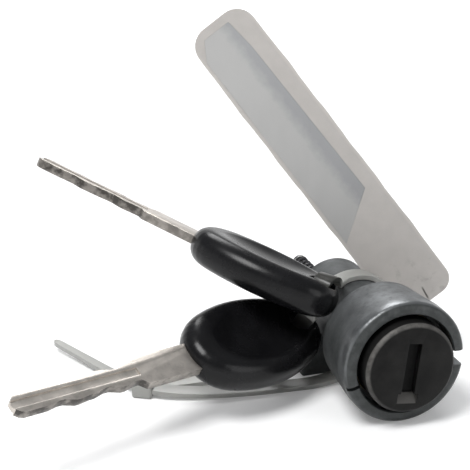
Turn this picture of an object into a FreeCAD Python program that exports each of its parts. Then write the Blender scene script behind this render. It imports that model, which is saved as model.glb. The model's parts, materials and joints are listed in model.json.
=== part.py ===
"""Barrel-type steering lock with its two keys and label held on by a cable tie.

Frame: the barrel lies along +Y, its face looks towards -Y, +Z is up.  The origin is on
the barrel's axis where the nose ring's rounded front runs into its straight land.
All sizes are millimetres and angles degrees.
"""

import FreeCAD, Part
import math
import os

import Sketcher

DRIVING_SIZES = {
    # nose ring, sleeve and drum of the die-cast housing
    "ring_radius": 16.0,
    "nose_round": 1.75,
    "ring_length": 5.0,
    "sleeve_rear_radius": 14.7,
    "sleeve_length": 19.0,
    "drum_radius": 10.3,
    "drum_length": 46.0,
    "sleeve_round": 1.2,
    "cap_gap": 1.13,
    "cap_seat_depth": 5.5,
    "notch_width": 4.2,
    "notch_depth": 7.0,
    "notch_angle": -2.2,
    "slit_width": 0.9,
    "slit_depth": 1.6,
    "slit_angle": 198.8,
    # lock-bolt guide block under the drum
    "block_wall": 2.35,
    "block_left": 14.5,
    "block_right": 11.5,
    "block_height": 7.8,
    "neck_half": 9.2,
    "neck_drop": 4.0,
    # turning plug
    "plug_tilt": 7.3,
    "turn_range": 110.0,
    "cap_radius": 11.79,
    "cap_proud": 3.2,
    "cap_length": 6.8,
    "cap_chamfer": 1.0,
    "cap_wall": 1.7,
    "slot_width": 3.5,
    "slot_height": 13.3,
    "ramp_width": 5.2,
    "ramp_height": 2.6,
    "ramp_depth": 1.5,
    "flange_length": 1.6,
    "plug_head_radius": 10.0,
    "plug_head_length": 3.0,
    "plug_radius": 7.97,
    "plug_running_gap": 0.08,
    "tail_length": 8.9,
    "tail_radius": 4.0,
    "keyway_width": 2.8,
    "keyway_height": 9.2,
    "keyway_land": 3.8,
    # shutter behind the key slot
    "shutter_thickness": 0.8,
    "shutter_height": 13.5,
    "shutter_hinge": 3.4,
    "shutter_reach": 2.3,
    "shutter_pin_radius": 0.4,
    "shutter_knuckle": 0.8,
    # wafers
    "wafer_first": 10.0,
    "wafer_pitch": 2.8,
    "wafer_thickness": 1.1,
    "wafer_width": 6.3,
    "wafer_height": 14.3,
    "wafer_lug": 2.1,
    "wafer_play": 0.1,
    # retaining peg
    "peg_setback": 1.8,
    "peg_radius": 1.0,
    "peg_stroke": 1.3,
    "groove_wall": 0.9,
    # cam, tail spindle and its spring
    "cam_radius": 7.4,
    "cam_thickness": 3.5,
    "crank_radius": 6.0,
    "crank_pin_radius": 0.9,
    "tang_size": 4.6,
    "spindle_radius": 2.9,
    "spindle_play": 0.06,
    "neck_length": 9.2,
    "collar_radius": 3.0,
    "collar_length": 1.6,
    "spring_seat_radius": 1.2,
    "spring_wire": 0.85,
    "spring_pitch": 2.3,
    "spring_turns": 5,
    "washer_radius": 2.2,
    "washer_thickness": 0.5,
    "clip_thickness": 0.7,
    "spindle_stub": 1.6,
    # sliding bolt
    "bolt_height": 5.0,
    "bolt_width": 7.7,
    "bolt_floor": 1.4,
    "bolt_play": 0.1,
    "bolt_tail": 0.9,
    "bolt_proud": 9.6,
    "yoke_half": 3.4,
    "yoke_thickness": 3.1,
    "yoke_top": 3.3,
    "yoke_slot": 2.8,
    "yoke_play": 0.25,
    "bolt_spring_radius": 1.5,
    "bolt_spring_bore": 4.4,
    # rear cover
    "cover_thickness": 2.8,
    "cover_screw_radius": 0.6,
    # keys
    "key_head_length": 42.0,
    "key_head_thickness": 9.5,
    "key_head_end_radius": 9.6,
    "key_head_root_radius": 11.4,
    "key_head_side_radius": 36.0,
    "key_head_round": 4.3,
    "key_rim": 4.6,
    "key_dish_slope": 4.0,
    "key_dish_depth": 1.2,
    "key_hole_radius": 3.7,
    "key_hole_inset": 5.5,
    "blade_length": 51.6,
    "blade_width": 8.5,
    "blade_thickness": 2.4,
    "blade_root": 12.0,
    "blade_shank": 15.0,
    "blade_groove_width": 1.8,
    "blade_groove_depth": 0.55,
    # cable tie
    "tie_width": 4.8,
    "tie_thickness": 1.2,
    "tie_seat_gap": 0.25,
    # label
    "label_width": 17.9,
    "label_length": 94.0,
    "label_thickness": 0.5,
    "label_recess": 0.2,
    "label_left": 3.3,
    "label_below": 8.0,
    "label_top_round": 5.5,
    "label_foot_round": 4.4,
    "small_gap": 0.3,
    "slip_fit": 0.05,
}

BLADE_CUTS_ABOVE = [0.5, 1.2, 0.4, 0.9, 1.3, 0.6, 1.1]
BLADE_CUTS_BELOW = [0.9, 0.4, 1.3, 0.7, 0.3, 1.2, 0.8]
WAFER_STEPS = [0.6, -0.3, 0.3, -0.6, 0.45, 0.0]

doc = FreeCAD.newDocument("steering_lock")
sheet = doc.addObject("Spreadsheet::Sheet", "Sizes")


class Size:
    """A length that knows its number and the formula that gives it from the sheet."""

    def __init__(self, number, formula):
        self.number = float(number)
        self.formula = formula

    def _join(self, other, sign, number):
        return Size(number, "(%s %s %s)" % (self.formula, sign, size(other).formula))

    def __add__(self, other):
        return self._join(other, "+", self.number + size(other).number)

    def __sub__(self, other):
        return self._join(other, "-", self.number - size(other).number)

    def __mul__(self, other):
        return self._join(other, "*", self.number * size(other).number)

    def __truediv__(self, other):
        return self._join(other, "/", self.number / size(other).number)

    def __radd__(self, other):
        return size(other) + self

    def __rsub__(self, other):
        return size(other) - self

    def __rmul__(self, other):
        return size(other) * self

    def __neg__(self):
        return Size(-self.number, "(0 - %s)" % self.formula)


def size(value):
    """Turn a sheet alias, a plain number or a Size into a Size."""
    if isinstance(value, Size):
        return value
    if isinstance(value, str):
        return Size(DRIVING_SIZES[value], "Sizes." + value)
    return Size(value, repr(float(value)))


def at_depth(value):
    """Y place of something measured back from the front face of the nose ring."""
    return size(value) - "nose_round"


def bind(thing, prop, value):
    """Tie one property of an object to the sheet."""
    thing.setExpression(prop, size(value).formula)


def vec(x, y, z):
    return FreeCAD.Vector(float(x), float(y), float(z))


AXIS_X = vec(1, 0, 0)
AXIS_Y = vec(0, 1, 0)
AXIS_Z = vec(0, 0, 1)


# Sketch and feature helpers

def fill_sheet():
    for row, (name, value) in enumerate(DRIVING_SIZES.items(), start=1):
        sheet.set("A%d" % row, name.replace("_", " "))
        sheet.set("B%d" % row, repr(value))
        sheet.setAlias("B%d" % row, name)
    doc.recompute()


def new_body(label):
    body = doc.addObject("PartDesign::Body", label)
    body.Label = label
    return body


def origin_item(body, role):
    return [item for item in body.Origin.OriginFeatures if item.Role == role][0]


def new_sketch(body, role, offset=0.0, turn=None):
    """A sketch on one of the body's own planes, moved along its normal and turned in it."""
    sketch = body.newObject("Sketcher::SketchObject", body.Label + "_sketch")
    sketch.AttachmentSupport = [(origin_item(body, role), "")]
    sketch.MapMode = "FlatFace"
    offset = size(offset)
    angle = size(turn if turn is not None else 0.0)
    sketch.AttachmentOffset = FreeCAD.Placement(
        vec(0, 0, offset.number), FreeCAD.Rotation(AXIS_Z, angle.number))
    bind(sketch, "AttachmentOffset.Base.z", offset)
    if turn is not None:
        bind(sketch, "AttachmentOffset.Rotation.Angle", angle)
    return sketch


def face_sketch(body, depth, turn=None):
    """A sketch square to the barrel, seen from the front, at a Y place."""
    return new_sketch(body, "XZ_Plane", -size(depth), turn)


def pin_point(sketch, geometry, corner, x, y):
    """Fix one point of a sketch by its two coordinates."""
    for kind, value, axis in (("DistanceX", size(x), -2), ("DistanceY", size(y), -1)):
        if abs(value.number) < 1e-9:
            sketch.addConstraint(Sketcher.Constraint("PointOnObject", geometry, corner, axis))
            continue
        where = sketch.addConstraint(
            Sketcher.Constraint(kind, -1, 1, geometry, corner, value.number))
        sketch.setExpression("Constraints[%d]" % where, value.formula)


def draw_outline(sketch, points):
    """A closed outline of straight edges through points given by their coordinates."""
    points = [(size(x), size(y)) for x, y in points]
    first = sketch.GeometryCount
    count = len(points)
    for index, (x, y) in enumerate(points):
        next_x, next_y = points[(index + 1) % count]
        sketch.addGeometry(Part.LineSegment(vec(x.number, y.number, 0),
                                            vec(next_x.number, next_y.number, 0)), False)
    for index in range(count):
        sketch.addConstraint(Sketcher.Constraint(
            "Coincident", first + index, 2, first + (index + 1) % count, 1))
    for index, (x, y) in enumerate(points):
        pin_point(sketch, first + index, 1, x, y)


def draw_box(sketch, left, right, low, high):
    draw_outline(sketch, [(left, low), (right, low), (right, high), (left, high)])


def draw_circle(sketch, radius, x=0.0, y=0.0):
    radius, x, y = size(radius), size(x), size(y)
    circle = sketch.addGeometry(
        Part.Circle(vec(x.number, y.number, 0), AXIS_Z, radius.number), False)
    where = sketch.addConstraint(Sketcher.Constraint("Radius", circle, radius.number))
    sketch.setExpression("Constraints[%d]" % where, radius.formula)
    if x.number == 0 and y.number == 0:
        sketch.addConstraint(Sketcher.Constraint("Coincident", circle, 3, -1, 1))
    else:
        pin_point(sketch, circle, 3, x, y)


def draw_oval(sketch, far_end, near_end, far_radius, near_radius, side_radius):
    """A closed oval of four tangent arcs along the sketch's X axis, its two ends unlike."""
    far_end, near_end, far_radius, near_radius, side_radius = map(
        size, (far_end, near_end, far_radius, near_radius, side_radius))
    far_middle, near_middle = far_end - far_radius, near_end + near_radius
    a, b = far_middle.number, near_middle.number
    big, r, s = side_radius.number, far_radius.number, near_radius.number
    across = (a * a - b * b - (big - r) ** 2 + (big - s) ** 2) / (2 * (a - b))
    drop = math.sqrt((big - r) ** 2 - (across - a) ** 2)
    lean = math.degrees(math.atan2(drop, a - across))
    back = math.degrees(math.atan2(drop, b - across))

    def arc(cx, cy, radius, start, stop):
        circle = Part.Circle(vec(cx, cy, 0), AXIS_Z, radius)
        return sketch.addGeometry(
            Part.ArcOfCircle(circle, math.radians(start), math.radians(stop)), False)

    right = arc(a, 0, r, -lean, lean)
    top = arc(across, -drop, big, lean, back)
    left = arc(b, 0, s, back, 360 - back)
    foot = arc(across, drop, big, 360 - back, 360 - lean)
    ring = [right, top, left, foot]
    for index, item in enumerate(ring):
        sketch.addConstraint(
            Sketcher.Constraint("Tangent", item, 2, ring[(index + 1) % 4], 1))
    pin_point(sketch, right, 3, far_middle, 0)
    pin_point(sketch, left, 3, near_middle, 0)
    for item, radius in ((right, far_radius), (left, near_radius), (top, side_radius)):
        where = sketch.addConstraint(Sketcher.Constraint("Radius", item, radius.number))
        sketch.setExpression("Constraints[%d]" % where, radius.formula)


def pad(body, sketch, length, backwards=False):
    feature = body.newObject("PartDesign::Pad", body.Label + "_pad")
    feature.Profile = sketch
    feature.Reversed = backwards
    bind(feature, "Length", length)
    return feature


def pocket(body, sketch, length, backwards=False):
    feature = body.newObject("PartDesign::Pocket", body.Label + "_pocket")
    feature.Profile = sketch
    feature.Reversed = backwards
    bind(feature, "Length", length)
    return feature


def turned(body, points):
    """Revolve an outline of (radius, place along the barrel) about the barrel's axis."""
    sketch = new_sketch(body, "XY_Plane")
    draw_outline(sketch, points)
    feature = body.newObject("PartDesign::Revolution", body.Label + "_turned")
    feature.Profile = sketch
    feature.ReferenceAxis = (sketch, ["V_Axis"])
    feature.Angle = 360
    return feature


def turned_cut(body, points):
    sketch = new_sketch(body, "XY_Plane")
    draw_outline(sketch, points)
    feature = body.newObject("PartDesign::Groove", body.Label + "_groove")
    feature.Profile = sketch
    feature.ReferenceAxis = (sketch, ["V_Axis"])
    feature.Angle = 360
    return feature


def edge_names(shape, wanted):
    return ["Edge%d" % (index + 1) for index, edge in enumerate(shape.Edges) if wanted(edge)]


def soften(body, kind, amount, wanted):
    """Fillet or chamfer the edges of the body that pass a test."""
    doc.recompute()
    base = body.Tip
    names = edge_names(base.Shape, wanted)
    feature = body.newObject("PartDesign::" + kind, body.Label + "_edges")
    feature.Base = (base, names)
    bind(feature, "Radius" if kind == "Fillet" else "Size", amount)
    return feature


def level_loop(*levels):
    """A test for edges that lie at one of these heights above or below the XY plane."""
    def wanted(edge):
        heights = [vertex.Point.z for vertex in edge.Vertexes]
        if max(heights) - min(heights) > 1e-4:
            return False
        return any(abs(abs(heights[0]) - size(level).number) < 1e-4 for level in levels)
    return wanted


def tilt_with_plug(thing):
    """Turn a plug piece about the barrel's axis to the angle at which the lock lies."""
    angle = size("plug_tilt")
    thing.Placement = FreeCAD.Placement(vec(0, 0, 0), FreeCAD.Rotation(AXIS_Y, angle.number))
    bind(thing, "Placement.Rotation.Angle", angle)


def bar(label, radius, length, direction, x=0.0, y=0.0, z=0.0):
    """A round bar that starts at a point and runs along X, Y or Z."""
    turns = {"X": FreeCAD.Rotation(AXIS_Y, 90), "Y": FreeCAD.Rotation(AXIS_X, -90),
             "Z": FreeCAD.Rotation()}
    solid = doc.addObject("Part::Cylinder", label)
    solid.Label = label
    bind(solid, "Radius", radius)
    bind(solid, "Height", length)
    place = [size(value) for value in (x, y, z)]
    solid.Placement = FreeCAD.Placement(
        vec(*[value.number for value in place]), turns[direction])
    for prop, value in zip("xyz", place):
        bind(solid, "Placement.Base." + prop, value)
    return solid


def post(label, radius, length, direction, x=0.0, y=0.0, z=0.0):
    """A six-sided bar, which stands in for a fine coil or makes a screw's head."""
    turns = {"X": FreeCAD.Rotation(AXIS_Y, 90), "Y": FreeCAD.Rotation(AXIS_X, -90),
             "Z": FreeCAD.Rotation()}
    solid = doc.addObject("Part::Prism", label)
    solid.Label = label
    solid.Polygon = 6
    bind(solid, "Circumradius", radius)
    bind(solid, "Height", length)
    place = [size(value) for value in (x, y, z)]
    solid.Placement = FreeCAD.Placement(
        vec(*[value.number for value in place]), turns[direction])
    for prop, value in zip("xyz", place):
        bind(solid, "Placement.Base." + prop, value)
    return solid


def tube(label, outer, inner, length, direction, x=0.0, y=0.0, z=0.0):
    cut = doc.addObject("Part::Cut", label)
    cut.Base = bar(label + "_outside", outer, length, direction, x, y, z)
    cut.Tool = bar(label + "_inside", inner, length, direction, x, y, z)
    cut.Label = label
    return cut


# Places worked out from the driving sizes

FRONT = at_depth(0.0)
RING_REAR = at_depth("ring_length")
SLEEVE_REAR = at_depth("sleeve_length")
DRUM_REAR = at_depth("drum_length")
TABLE = -size("ring_radius")
BLOCK_TOP = TABLE + "block_height"
CAP_FRONT = FRONT - "cap_proud"
CAP_REAR = CAP_FRONT + "cap_length"
FLANGE_REAR = CAP_REAR + "flange_length"
HEAD_REAR = FLANGE_REAR + "plug_head_length"
CAP_SEAT = at_depth("cap_seat_depth")
PLUG_BORE = size("plug_radius") + "plug_running_gap"
PLUG_HEAD_BORE = size("plug_head_radius") + "plug_running_gap"
YOKE_REAR = DRUM_REAR - "yoke_play"
YOKE_FRONT = YOKE_REAR - "yoke_thickness"
CAM_REAR = YOKE_FRONT - "yoke_play"
CAM_FRONT = CAM_REAR - "cam_thickness"
PLUG_REAR = CAM_FRONT - "tail_length"
KEYWAY_REAR = PLUG_REAR - "keyway_land"
PEG_Y = PLUG_REAR - "peg_setback"
PEG_TIP = size("drum_radius") - "groove_wall" - 0.2
WAFER_ROOM = KEYWAY_REAR - at_depth("wafer_first") - "wafer_thickness"
WAFER_COUNT = 1 + int(WAFER_ROOM.number / DRIVING_SIZES["wafer_pitch"])
BOLT_BOTTOM = TABLE + "bolt_floor"
BOLT_TOP = BOLT_BOTTOM + "bolt_height"
BOLT_MIDDLE_Z = BOLT_BOTTOM + size("bolt_height") / 2.0
BOLT_REAR = YOKE_FRONT
BOLT_FRONT = BOLT_REAR - "bolt_width"
BLOCK_FRONT = BOLT_FRONT - "block_wall"
BOLT_MIDDLE_Y = BOLT_REAR - size("bolt_width") / 2.0
HALF_TURN = DRIVING_SIZES["turn_range"] / 2.0
CRANK_X = size("crank_radius") * math.sin(math.radians(HALF_TURN))
BOLT_STROKE = CRANK_X * 2.0
CHANNEL_LEFT = -(size("bolt_tail") + BOLT_STROKE + 0.8)
COVER_REAR = DRUM_REAR + "cover_thickness"
COLLAR_FRONT = COVER_REAR + "neck_length"
COLLAR_REAR = COLLAR_FRONT + "collar_length"
SPRING_LENGTH = size("spring_pitch") * "spring_turns" + "spring_wire"
SPRING_REAR = COLLAR_REAR + SPRING_LENGTH + 0.1
CLIP_FRONT = SPRING_REAR + "washer_thickness" + 0.1
CLIP_REAR = CLIP_FRONT + "clip_thickness"
SPINDLE_REAR = CLIP_REAR + "spindle_stub"
SHUTTER_FRONT = CAP_FRONT + "cap_wall" + 0.2
SHUTTER_HINGE_Y = SHUTTER_FRONT + "shutter_thickness"
SHUTTER_ROOM = size("shutter_height") / 2.0 + 0.4


def block_outline():
    """The guide block seen from the front, its shoulders running up into the drum."""
    left, right = -size("block_left"), size("block_right")
    neck, drop = size("neck_half"), -size("neck_drop")
    return [(left, TABLE), (right, TABLE), (right, BLOCK_TOP),
            (neck, drop), (-neck, drop), (left, BLOCK_TOP)]


def cover_screw_places():
    """Two screws in the drum's wall and one in the block's closed end."""
    wall = (size("drum_radius") + PLUG_BORE) / 2.0
    along = math.cos(math.radians(20))
    rise = math.sin(math.radians(20))
    end_x = (CHANNEL_LEFT - "block_left") / 2.0
    return [(wall * along, wall * rise), (wall * -along, wall * rise), (end_x, BOLT_MIDDLE_Z)]


# Housing

def rounded_corner(radius, place, rounding, side, chords):
    """Chords round an outer corner, from its straight side to its end face."""
    points = []
    for step in range(chords + 1):
        angle = math.radians(90.0 * step / chords)
        points.append((size(radius) - size(rounding) * (1.0 - math.cos(angle)),
                       size(place) + size(rounding) * (side * (math.sin(angle) - 1.0))))
    return points


def make_barrel_housing():
    body = new_body("barrel_housing")
    nose = rounded_corner("ring_radius", FRONT, "nose_round", -1.0, 4)
    heel = rounded_corner("sleeve_rear_radius", SLEEVE_REAR, "sleeve_round", 1.0, 3)
    turned(body, [(0, FRONT)] + nose[::-1] + [("ring_radius", RING_REAR)] + heel
           + [("drum_radius", SLEEVE_REAR), ("drum_radius", DRUM_REAR), (0, DRUM_REAR)])
    sketch = face_sketch(body, BLOCK_FRONT)
    draw_outline(sketch, block_outline())
    pad(body, sketch, DRUM_REAR - BLOCK_FRONT, backwards=True)
    front_x, front_y = -size("block_left").number, BLOCK_FRONT.number

    def block_corner(edge):
        ends = [vertex.Point for vertex in edge.Vertexes]
        if len(ends) != 2 or abs(ends[0].y - ends[1].y) > 1e-4:
            return False
        low = max(ends[0].z, ends[1].z) < BLOCK_TOP.number + 1e-3
        return low and abs(ends[0].y - front_y) < 1e-4 and abs(ends[0].x - front_x) < 1e-3

    soften(body, "Chamfer", 0.8, block_corner)
    bores = [(CAP_SEAT, size("cap_radius") + "cap_gap"), (HEAD_REAR + "slip_fit", PLUG_HEAD_BORE),
             (DRUM_REAR, PLUG_BORE)]
    for end, radius in bores:
        sketch = face_sketch(body, FRONT)
        draw_circle(sketch, radius)
        pocket(body, sketch, end - FRONT)
    groove_radius = size("drum_radius") - "groove_wall"
    half_groove = size("peg_radius") + 0.15
    turned_cut(body, [(PLUG_BORE - 0.2, PEG_Y - half_groove), (groove_radius, PEG_Y - half_groove),
                      (groove_radius, PEG_Y + half_groove), (PLUG_BORE - 0.2, PEG_Y + half_groove)])
    cut_release_hole(body)
    cut_bolt_room(body)
    cut_ring_notches(body)
    for x, z in cover_screw_places():
        sketch = face_sketch(body, DRUM_REAR)
        draw_circle(sketch, size("cover_screw_radius") + "slip_fit", x, z)
        pocket(body, sketch, 5.0, backwards=True)
    return body


def cut_release_hole(body):
    """The small hole through which a pin pushes the retaining peg in."""
    sketch = new_sketch(body, "YZ_Plane")
    tilt = size("plug_tilt")
    sketch.AttachmentOffset = FreeCAD.Placement(
        vec(0, 0, 0), FreeCAD.Rotation(AXIS_X, tilt.number))
    bind(sketch, "AttachmentOffset.Rotation.Angle", tilt)
    draw_circle(sketch, size("peg_radius") - 0.2, PEG_Y, 0)
    pocket(body, sketch, size("drum_radius") + 1.0)


def cut_bolt_room(body):
    """The bolt's channel, open to the right, and the gap in which its yoke travels."""
    play = size("bolt_play")
    channel_front = BOLT_FRONT - play
    sketch = face_sketch(body, channel_front)
    draw_box(sketch, CHANNEL_LEFT, size("block_right") + 1.0,
             BOLT_BOTTOM - play, BOLT_TOP + play)
    pocket(body, sketch, DRUM_REAR - channel_front)
    yoke_reach = CRANK_X + "yoke_half" + "small_gap"
    sketch = face_sketch(body, YOKE_FRONT - 0.2)
    draw_box(sketch, -yoke_reach, yoke_reach, BOLT_TOP - 0.5, -(size("yoke_top") - 0.3))
    pocket(body, sketch, DRUM_REAR - YOKE_FRONT + 0.2)


def cut_ring_notches(body):
    """A square notch and a fine slit across the ring's face, on opposite sides."""
    notches = [("notch_angle", "notch_width", "notch_depth"),
               ("slit_angle", "slit_width", "slit_depth")]
    for angle, width, depth in notches:
        sketch = face_sketch(body, FRONT, turn=size(angle))
        half = size(width) / 2.0
        draw_box(sketch, size("cap_radius"), size("ring_radius") + 1.0, -half, half)
        pocket(body, sketch, depth)


def make_rear_cover():
    body = new_body("rear_cover")
    sketch = face_sketch(body, DRUM_REAR)
    draw_circle(sketch, "drum_radius")
    pad(body, sketch, "cover_thickness", backwards=True)
    sketch = face_sketch(body, DRUM_REAR)
    draw_outline(sketch, block_outline())
    pad(body, sketch, "cover_thickness", backwards=True)
    soften(body, "Chamfer", 0.7, lambda edge: rear_edge(edge))
    sketch = face_sketch(body, DRUM_REAR - 1.0)
    draw_circle(sketch, size("spindle_radius") + "spindle_play")
    pocket(body, sketch, size("cover_thickness") + 2.0)
    for x, z in cover_screw_places():
        sketch = face_sketch(body, DRUM_REAR - 1.0)
        draw_circle(sketch, size("cover_screw_radius") + "slip_fit", x, z)
        pocket(body, sketch, size("cover_thickness") + 2.0)
    return body


def rear_edge(edge):
    """True for an outer edge of the cover's rear face."""
    return all(abs(vertex.Point.y - COVER_REAR.number) < 1e-4 for vertex in edge.Vertexes)


def make_cover_screws():
    screws = []
    for index, (x, z) in enumerate(cover_screw_places(), start=1):
        name = "cover_screw_%d" % index
        shank = bar(name + "_shank", "cover_screw_radius", size("cover_thickness") + 4.0, "Y",
                    x, DRUM_REAR - 4.0, z)
        head = post(name + "_head", size("cover_screw_radius") * 2.0, 0.9, "Y", x, COVER_REAR, z)
        screw = doc.addObject("Part::Fuse", name)
        screw.Base = shank
        screw.Tool = head
        screws.append(screw)
    group = doc.addObject("Part::Compound", "cover_screws")
    group.Label = "cover_screws"
    group.Links = screws
    return group


# Turning plug

def make_face_cap():
    body = new_body("face_cap")
    chamfer = size("cap_chamfer")
    turned(body, [(0, CAP_FRONT), (size("cap_radius") - chamfer, CAP_FRONT),
                  ("cap_radius", CAP_FRONT + chamfer), ("cap_radius", CAP_REAR), (0, CAP_REAR)])
    half_width, half_height = size("slot_width") / 2.0, size("slot_height") / 2.0
    sketch = face_sketch(body, CAP_FRONT)
    draw_box(sketch, -half_width, half_width, -half_height, half_height)
    pocket(body, sketch, "cap_wall")
    half_ramp = size("ramp_width") / 2.0
    sketch = new_sketch(body, "YZ_Plane", -half_ramp)
    foot = -half_height - "ramp_height"
    draw_outline(sketch, [(CAP_FRONT, -half_height + 0.01), (CAP_FRONT, foot),
                          (CAP_FRONT + "ramp_depth", -half_height + 0.01)])
    pocket(body, sketch, "ramp_width", backwards=True)
    cut_shutter_room(body, CAP_FRONT + "cap_wall", CAP_REAR)
    pin_end = SHUTTER_ROOM + 0.9
    sketch = new_sketch(body, "XY_Plane", pin_end)
    draw_circle(sketch, size("shutter_pin_radius") + "slip_fit",
                -size("shutter_hinge"), SHUTTER_HINGE_Y)
    pocket(body, sketch, pin_end * 2.0)
    tilt_with_plug(body)
    return body


def cut_shutter_room(body, front, rear):
    """The room in which the shutter lies and swings back."""
    knuckle = size("shutter_hinge") + "shutter_knuckle" + "small_gap"
    sketch = face_sketch(body, front)
    draw_box(sketch, -knuckle, size("shutter_reach") + "small_gap", -SHUTTER_ROOM, SHUTTER_ROOM)
    pocket(body, sketch, rear - front)


def make_rotor():
    body = new_body("rotor")
    tang_rear = CAM_FRONT + 1.2
    turned(body, [(0, CAP_REAR), ("cap_radius", CAP_REAR), ("cap_radius", FLANGE_REAR),
                  ("plug_head_radius", FLANGE_REAR), ("plug_head_radius", HEAD_REAR),
                  ("plug_radius", HEAD_REAR), ("plug_radius", PLUG_REAR),
                  ("tail_radius", PLUG_REAR), ("tail_radius", CAM_FRONT - 3.0),
                  (0, CAM_FRONT - 3.0)])
    half_tang = size("tang_size") / 2.0
    sketch = face_sketch(body, CAM_FRONT - 3.0)
    draw_box(sketch, -half_tang, half_tang, -half_tang, half_tang)
    pad(body, sketch, tang_rear - CAM_FRONT + 3.0, backwards=True)
    cut_shutter_room(body, CAP_REAR, HEAD_REAR - 0.6)
    half_width, half_height = size("keyway_width") / 2.0, size("keyway_height") / 2.0
    sketch = face_sketch(body, CAP_REAR)
    draw_box(sketch, -half_width, half_width, -half_height, half_height)
    pocket(body, sketch, KEYWAY_REAR - CAP_REAR)
    cut_wafer_slots(body)
    sketch = new_sketch(body, "YZ_Plane", -(size("keyway_width") / 2.0 + 0.2))
    draw_circle(sketch, size("peg_radius") + 0.08, PEG_Y, 0)
    pocket(body, sketch, "plug_radius")
    hole = new_sketch(body, "YZ_Plane", -size("tail_radius") - 1.0)
    draw_circle(hole, 0.8, CAM_FRONT - 1.5, 0)
    pocket(body, hole, size("tail_radius") * 2.0 + 2.0, backwards=True)
    tilt_with_plug(body)
    return body


def cut_wafer_slots(body):
    """One slot with its two spring pockets, repeated along the plug."""
    half_slot = (size("wafer_thickness") + size("wafer_play") * 2.0) / 2.0
    side = size("wafer_width") / 2.0 + "wafer_play"
    lug = side + "wafer_lug" + "wafer_play"
    top, low, high = size("plug_radius") + 0.5, size(-2.8), size(4.3)
    sketch = face_sketch(body, at_depth("wafer_first") - half_slot)
    draw_outline(sketch, [(-side, -top), (side, -top), (side, low), (lug, low), (lug, high),
                          (side, high), (side, top), (-side, top), (-side, high),
                          (-lug, high), (-lug, low), (-side, low)])
    slot = pocket(body, sketch, half_slot * 2.0)
    doc.recompute()
    row = body.newObject("PartDesign::LinearPattern", "rotor_wafer_slots")
    row.Originals = [slot]
    row.Direction = (origin_item(body, "Y_Axis"), [""])
    bind(row, "Length", size("wafer_pitch") * float(WAFER_COUNT - 1))
    row.Occurrences = WAFER_COUNT
    body.Tip = row


def wafer_side(index):
    return 1.0 if index % 2 == 0 else -1.0


def make_wafers():
    """Flat tumblers, each with a key window and a spring lug, facing left and right in turn."""
    wafers = []
    half_width, half_height = size("wafer_width") / 2.0, size("wafer_height") / 2.0
    for index in range(WAFER_COUNT):
        body = new_body("wafer_%d" % (index + 1))
        front = (at_depth("wafer_first") + size("wafer_pitch") * float(index)
                 - size("wafer_thickness") / 2.0)
        side = wafer_side(index)
        inner, outer = half_width * side, (half_width + "wafer_lug") * side
        sketch = face_sketch(body, front)
        draw_outline(sketch, [(inner, -half_height), (inner, 2.7), (outer, 2.7), (outer, 4.0),
                              (inner, 4.0), (inner, half_height), (-inner, half_height),
                              (-inner, -half_height)])
        pad(body, sketch, "wafer_thickness", backwards=True)
        step = size(WAFER_STEPS[index % len(WAFER_STEPS)])
        window = size("keyway_height") / 2.0
        sketch = face_sketch(body, front)
        draw_box(sketch, size("keyway_width") / -2.0, size("keyway_width") / 2.0,
                 step - window, step + window)
        pocket(body, sketch, "wafer_thickness")
        tilt_with_plug(body)
        wafers.append(body)
    return wafers


def make_wafer_springs():
    springs = []
    out = size("wafer_width") / 2.0 + size("wafer_lug") / 2.0 + "wafer_play"
    for index in range(WAFER_COUNT):
        place = at_depth("wafer_first") + size("wafer_pitch") * float(index)
        springs.append(post("wafer_spring_%d" % (index + 1), 0.55, 5.3, "Z",
                            out * wafer_side(index), place, -2.7))
    group = doc.addObject("Part::Compound", "wafer_springs")
    group.Label = "wafer_springs"
    group.Links = springs
    tilt_with_plug(group)
    return group


def make_shutter():
    """The flap that closes the key slot, its pin and its spring."""
    half_height = size("shutter_height") / 2.0
    hinge = -size("shutter_hinge")
    knuckle_foot = size(-4.6)
    body = new_body("dust_shutter")
    sketch = face_sketch(body, SHUTTER_FRONT)
    draw_box(sketch, hinge, "shutter_reach", -half_height, half_height)
    pad(body, sketch, "shutter_thickness", backwards=True)
    sketch = new_sketch(body, "XY_Plane", knuckle_foot)
    draw_circle(sketch, "shutter_knuckle", hinge, SHUTTER_HINGE_Y)
    pad(body, sketch, half_height - knuckle_foot)
    room = size("shutter_knuckle") + 0.25
    sketch = new_sketch(body, "XY_Plane", knuckle_foot)
    draw_box(sketch, hinge - room, hinge + room, SHUTTER_FRONT - 0.5, SHUTTER_HINGE_Y + room)
    pocket(body, sketch, half_height + knuckle_foot + 1.0)
    sketch = new_sketch(body, "XY_Plane", half_height + 0.5)
    draw_circle(sketch, size("shutter_pin_radius") + 0.06, hinge, SHUTTER_HINGE_Y)
    pocket(body, sketch, half_height * 2.0 + 1.0)
    tilt_with_plug(body)
    pin_end = SHUTTER_ROOM + 0.8
    pin = bar("shutter_pin_blank", "shutter_pin_radius", pin_end * 2.0, "Z",
              hinge, SHUTTER_HINGE_Y, -pin_end)
    spring = tube("shutter_spring_blank", size("shutter_knuckle") - 0.05,
                  size("shutter_pin_radius") + 0.08, half_height + knuckle_foot - 0.2, "Z",
                  hinge, SHUTTER_HINGE_Y, -half_height + 0.05)
    return [body, tilted_copy(pin, "shutter_pin"), tilted_copy(spring, "shutter_spring")]


def tilted_copy(solid, label):
    """A one-piece compound that carries a plain solid round with the plug."""
    group = doc.addObject("Part::Compound", label)
    group.Label = label
    group.Links = [solid]
    tilt_with_plug(group)
    return group


def make_retaining_peg():
    inner = PEG_TIP - 4.6
    peg = bar("retaining_peg_blank", "peg_radius", 4.6, "X", -PEG_TIP, PEG_Y, 0)
    hole_foot = size("keyway_width") / 2.0 + 0.25
    spring = post("peg_spring_blank", size("peg_radius") - 0.15, inner - hole_foot - 0.05,
                  "X", -inner + 0.05, PEG_Y, 0)
    return [tilted_copy(peg, "retaining_peg"), tilted_copy(spring, "peg_spring")]


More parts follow.
